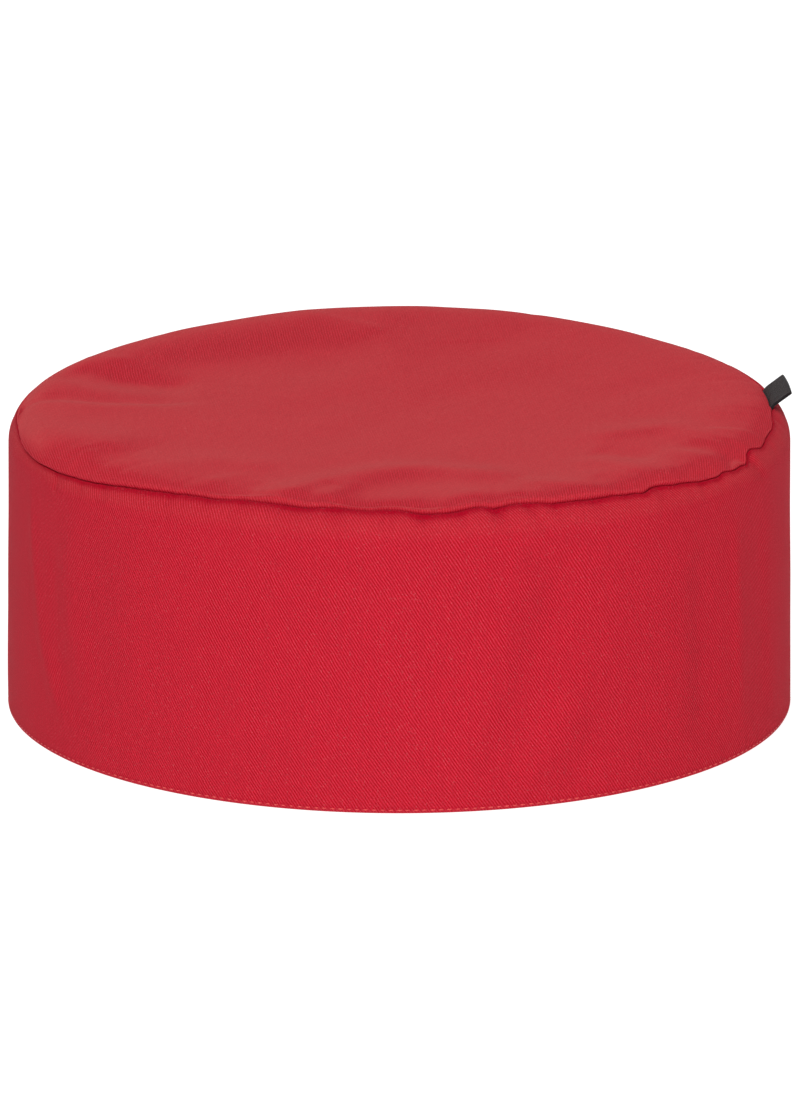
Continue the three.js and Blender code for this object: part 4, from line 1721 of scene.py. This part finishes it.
@dataclass
class RimStitching:
    """The row of lockstitches along the rim's edge, on one face of the fold. Lengths are in mm."""

    shape: CapShape
    band: SideBand
    hem: Hem
    pitch: float = 2.0
    length: float = 1.65
    thread: float = 0.36
    proud: float = 0.12
    dive: float = 0.42
    flatness: float = 0.8
    thinnest: float = 0.04
    unevenness: float = 0.06
    sizes: tuple[float, float] = (0.92, 1.06)
    sides: int = 8
    rings: int = 9
    seed: int = 3

    def build(self, material: bpy.types.Material) -> bpy.types.Object:
        """Builds all the stitches as one mesh.

        Args:
            material: Their finish.

        Returns:
            The piece.
        """
        count = round(2 * np.pi * self.shape.rim_radius / self.pitch)
        rng = np.random.default_rng(self.seed + self.hem.value)
        points, faces, corners = [], [], []
        for i in range(count):
            azimuth = 360.0 * i / count + rng.uniform(-self.unevenness, self.unevenness)
            tilt = rng.uniform(-self.unevenness, self.unevenness)
            points += self._stitch(azimuth, tilt, rng.uniform(*self.sizes))
            self._skin(i * self.rings * self.sides, faces, corners)
        mesh = new_mesh(f"rim_stitching_{self.hem.name.lower()}", points, faces, corners, {})
        return dressed(mesh, material)

    def _stitch(self, azimuth: float, tilt: float, size: float) -> list[Array]:
        """One stitch: a short thread that dives into the cloth at both ends.

        Args:
            azimuth: Where its middle stands.
            tilt: How much it climbs along its length.
            size: Its size, compared with the usual one.

        Returns:
            The points of its rings.
        """
        side = self.hem.value
        face = self.shape.rim_radius - (0.0 if side > 0 else self.band.thickness)
        face -= side * self.band.hem_pinch
        turns = np.linspace(0.0, 2 * np.pi, self.sides, endpoint=False)
        rings = []
        for t in np.linspace(-1.0, 1.0, self.rings):
            along = 0.5 * self.length * size * t
            thick = 0.5 * self.thread * size * np.sqrt(max(1.0 - abs(t) ** 6, self.thinnest))
            centre = face + side * (self.proud * self.thread - self.dive * self.thread * abs(t) ** 3)
            r = centre + side * self.flatness * thick * np.cos(turns)
            z = self.band.hem_height + tilt * along + thick * np.sin(turns)
            rings.append(polar(np.full_like(turns, azimuth + np.degrees(along / face)), r, z))
        return rings

    def _skin(self, first: int, faces: list, corners: list) -> None:
        """Adds the faces of one stitch.

        Args:
            first: Its first point.
            faces: The faces so far.
            corners: Their corners' cloth coordinates.
        """
        n = self.sides
        for k in range(self.rings - 1):
            a, b = first + k * n, first + (k + 1) * n
            x0, x1 = k * self.length / (self.rings - 1), (k + 1) * self.length / (self.rings - 1)
            for j in range(n):
                after = (j + 1) % n
                faces.append((a + j, a + after, b + after, b + j))
                corners += [(x0, j / n), (x0, (j + 1) / n), (x1, (j + 1) / n), (x1, j / n)]
        last = first + (self.rings - 1) * n
        for x, end in ((0.0, range(first + n - 1, first - 1, -1)), (self.length, range(last, last + n))):
            faces.append(tuple(end))
            corners += [(x, j / n) for j in range(n)]


# ---- The studio --------------------------------------------------------------------------------
def turn_to(obj: bpy.types.Object, target: Vector) -> None:
    """Turns a camera or a light to a place."""
    obj.rotation_euler = (target - obj.location).to_track_quat("-Z", "Y").to_euler()


@dataclass(frozen=True)
class Lamp:
    """A square soft light: its place and size in metres, and its power in watts."""

    name: str
    place: tuple[float, float, float]
    size: float
    power: float

    def build(self, target: Vector) -> None:
        """Sets the light up.

        Args:
            target: The place it is turned to.
        """
        data = bpy.data.lights.new(self.name, "AREA")
        data.energy = self.power
        data.size = self.size
        light = linked(self.name, data)
        light.location = self.place
        turn_to(light, target)


LAMPS = table(
    Lamp,
    ("key", (-0.6, -1.7, 2.2), 1.4, 46.0),
    ("front", (0.0, -2.6, 0.7), 1.6, 27.0),
    ("top", (0.0, 0.5, 2.4), 1.8, 22.0),
    ("side", (2.4, -1.0, 1.0), 1.6, 12.0),
    ("back", (0.0, 2.4, 1.0), 1.8, 8.0),
)
WHITE = (1.0, 1.0, 1.0)


@dataclass
class Studio:
    """Pale floor, soft lights and the camera.

    The camera's distance and aim are in mm, its elevation in degrees, the floor's size in metres,
    and the scale in image units for one mm.
    """

    distance: float = 5000.0
    elevation: float = 16.27
    aim_height: float = 35.4
    aim_aside: float = 0.18
    scale: float = 4.125
    image_width: float = 800.0
    lamp_aim: float = 0.04
    surround: float = 0.02
    floor_size: float = 6.0
    floor_tones: tuple[float, float] = (0.3, 0.32)
    floor_glow: float = 0.9

    def build(self) -> bpy.types.Object:
        """Builds the studio.

        Returns:
            The floor.
        """
        self._camera()
        for lamp in LAMPS:
            lamp.build(Vector((0.0, 0.0, self.lamp_aim)))
        self._world()
        return self._floor()

    def _camera(self) -> None:
        """Sets up a long lens a little above the cap's top, turned to its front."""
        up = np.radians(self.elevation)
        data = bpy.data.cameras.new("camera")
        data.sensor_fit = "HORIZONTAL"
        data.lens = data.sensor_width * self.scale * self.distance / self.image_width
        data.clip_end = 100.0
        data.dof.use_dof = False
        camera = linked("camera", data)
        target = Vector((self.aim_aside, 0.0, self.aim_height)) * MM
        camera.location = target + Vector((0.0, -np.cos(up), np.sin(up))) * self.distance * MM
        turn_to(camera, target)
        bpy.context.scene.camera = camera

    def _world(self) -> None:
        """Sets up an even pale surround."""
        world = bpy.data.worlds.new("surround")
        world.use_nodes = True
        background = world.node_tree.nodes["Background"]
        background.inputs["Color"].default_value = rgba(WHITE)
        background.inputs["Strength"].default_value = self.surround
        bpy.context.scene.world = world
        bpy.context.scene.view_settings.view_transform = "Standard"

    def _floor(self) -> bpy.types.Object:
        """Lays a plain pale floor at the rim's height.

        Returns:
            The floor.
        """
        mesh = bpy.data.meshes.new("floor")
        half = self.floor_size / 2
        corners = [(-half, -half, 0), (half, -half, 0), (half, half, 0), (-half, half, 0)]
        mesh.from_pydata(corners, [], [(0, 1, 2, 3)])
        b = Surface(
            "floor_paper",
            0.9,
            Specular_IOR_Level=0.1,
            Emission_Color=rgba(WHITE),
            Emission_Strength=self.floor_glow,
        )
        tone = b.spread(b.noise(b.place, 1.5), 0.3, 0.7, *self.floor_tones)
        grey = b.feed(b.node("ShaderNodeCombineColor"), Red=tone, Green=tone, Blue=tone)
        b.feed(b.shader, Base_Color=grey.outputs[0])
        return dressed(mesh, b.material)


# ---- The whole cap -----------------------------------------------------------------------------
def report_piece(piece: bpy.types.Object) -> None:
    """Logs a piece's name, faces and size."""
    size = ", ".join(f"{side / MM:.1f}" for side in piece.dimensions)
    LOG.info("%s: %d faces, %s mm", piece.name, len(piece.data.polygons), size)


def main() -> None:
    """Builds the cap and its studio."""
    logging.basicConfig(level=logging.INFO, format="%(message)s")
    cad_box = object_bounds()
    band_low, band_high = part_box("side_band")
    shape = CapShape(rim_radius=(band_high.x - band_low.x) / 2 / MM, top_height=75.0)
    effects = Effects()
    red = TwillFinish("red_twill_band", sheen_share=0.2, sheen_on_ribs=0.5, sheen_cover=0.0).material(effects)
    red_top = TwillFinish("red_twill_crown", warp_pitch=0.2475, weft_pitch=0.395).material(effects)
    black = RibbonFinish("black_ribbon").material(effects)
    thread = ThreadFinish("red_thread").material(effects)
    band = SideBand(shape)
    pieces = [
        (band.build(red), "side_band", "band_twill"),
        (CrownPanel(shape).build(red_top), "crown_panel", "crown_twill"),
        (LabelTab(shape).build(black), "label_tab", "label_ribbon"),
        (RimStitching(shape, band, Hem.OUTSIDE).build(thread), None, "rim_thread"),
        (RimStitching(shape, band, Hem.INSIDE).build(thread), None, "rim_thread"),
    ]
    for piece, node, slot in pieces:
        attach(piece, "root")
        if node:
            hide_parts(node)
        report_piece(piece)
    cloths = [piece for piece, _, _ in pieces]
    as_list(cloths[3:])
    Studio().build()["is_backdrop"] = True
    bpy.context.view_layer.update()
    {"cad": plain(cad_box), "visual": plain(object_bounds())}


def plain(box: tuple) -> list:
    """A box as plain lists of numbers."""
    return [[float(value) for value in corner] for corner in box]


if __name__ == "__main__":
    main()
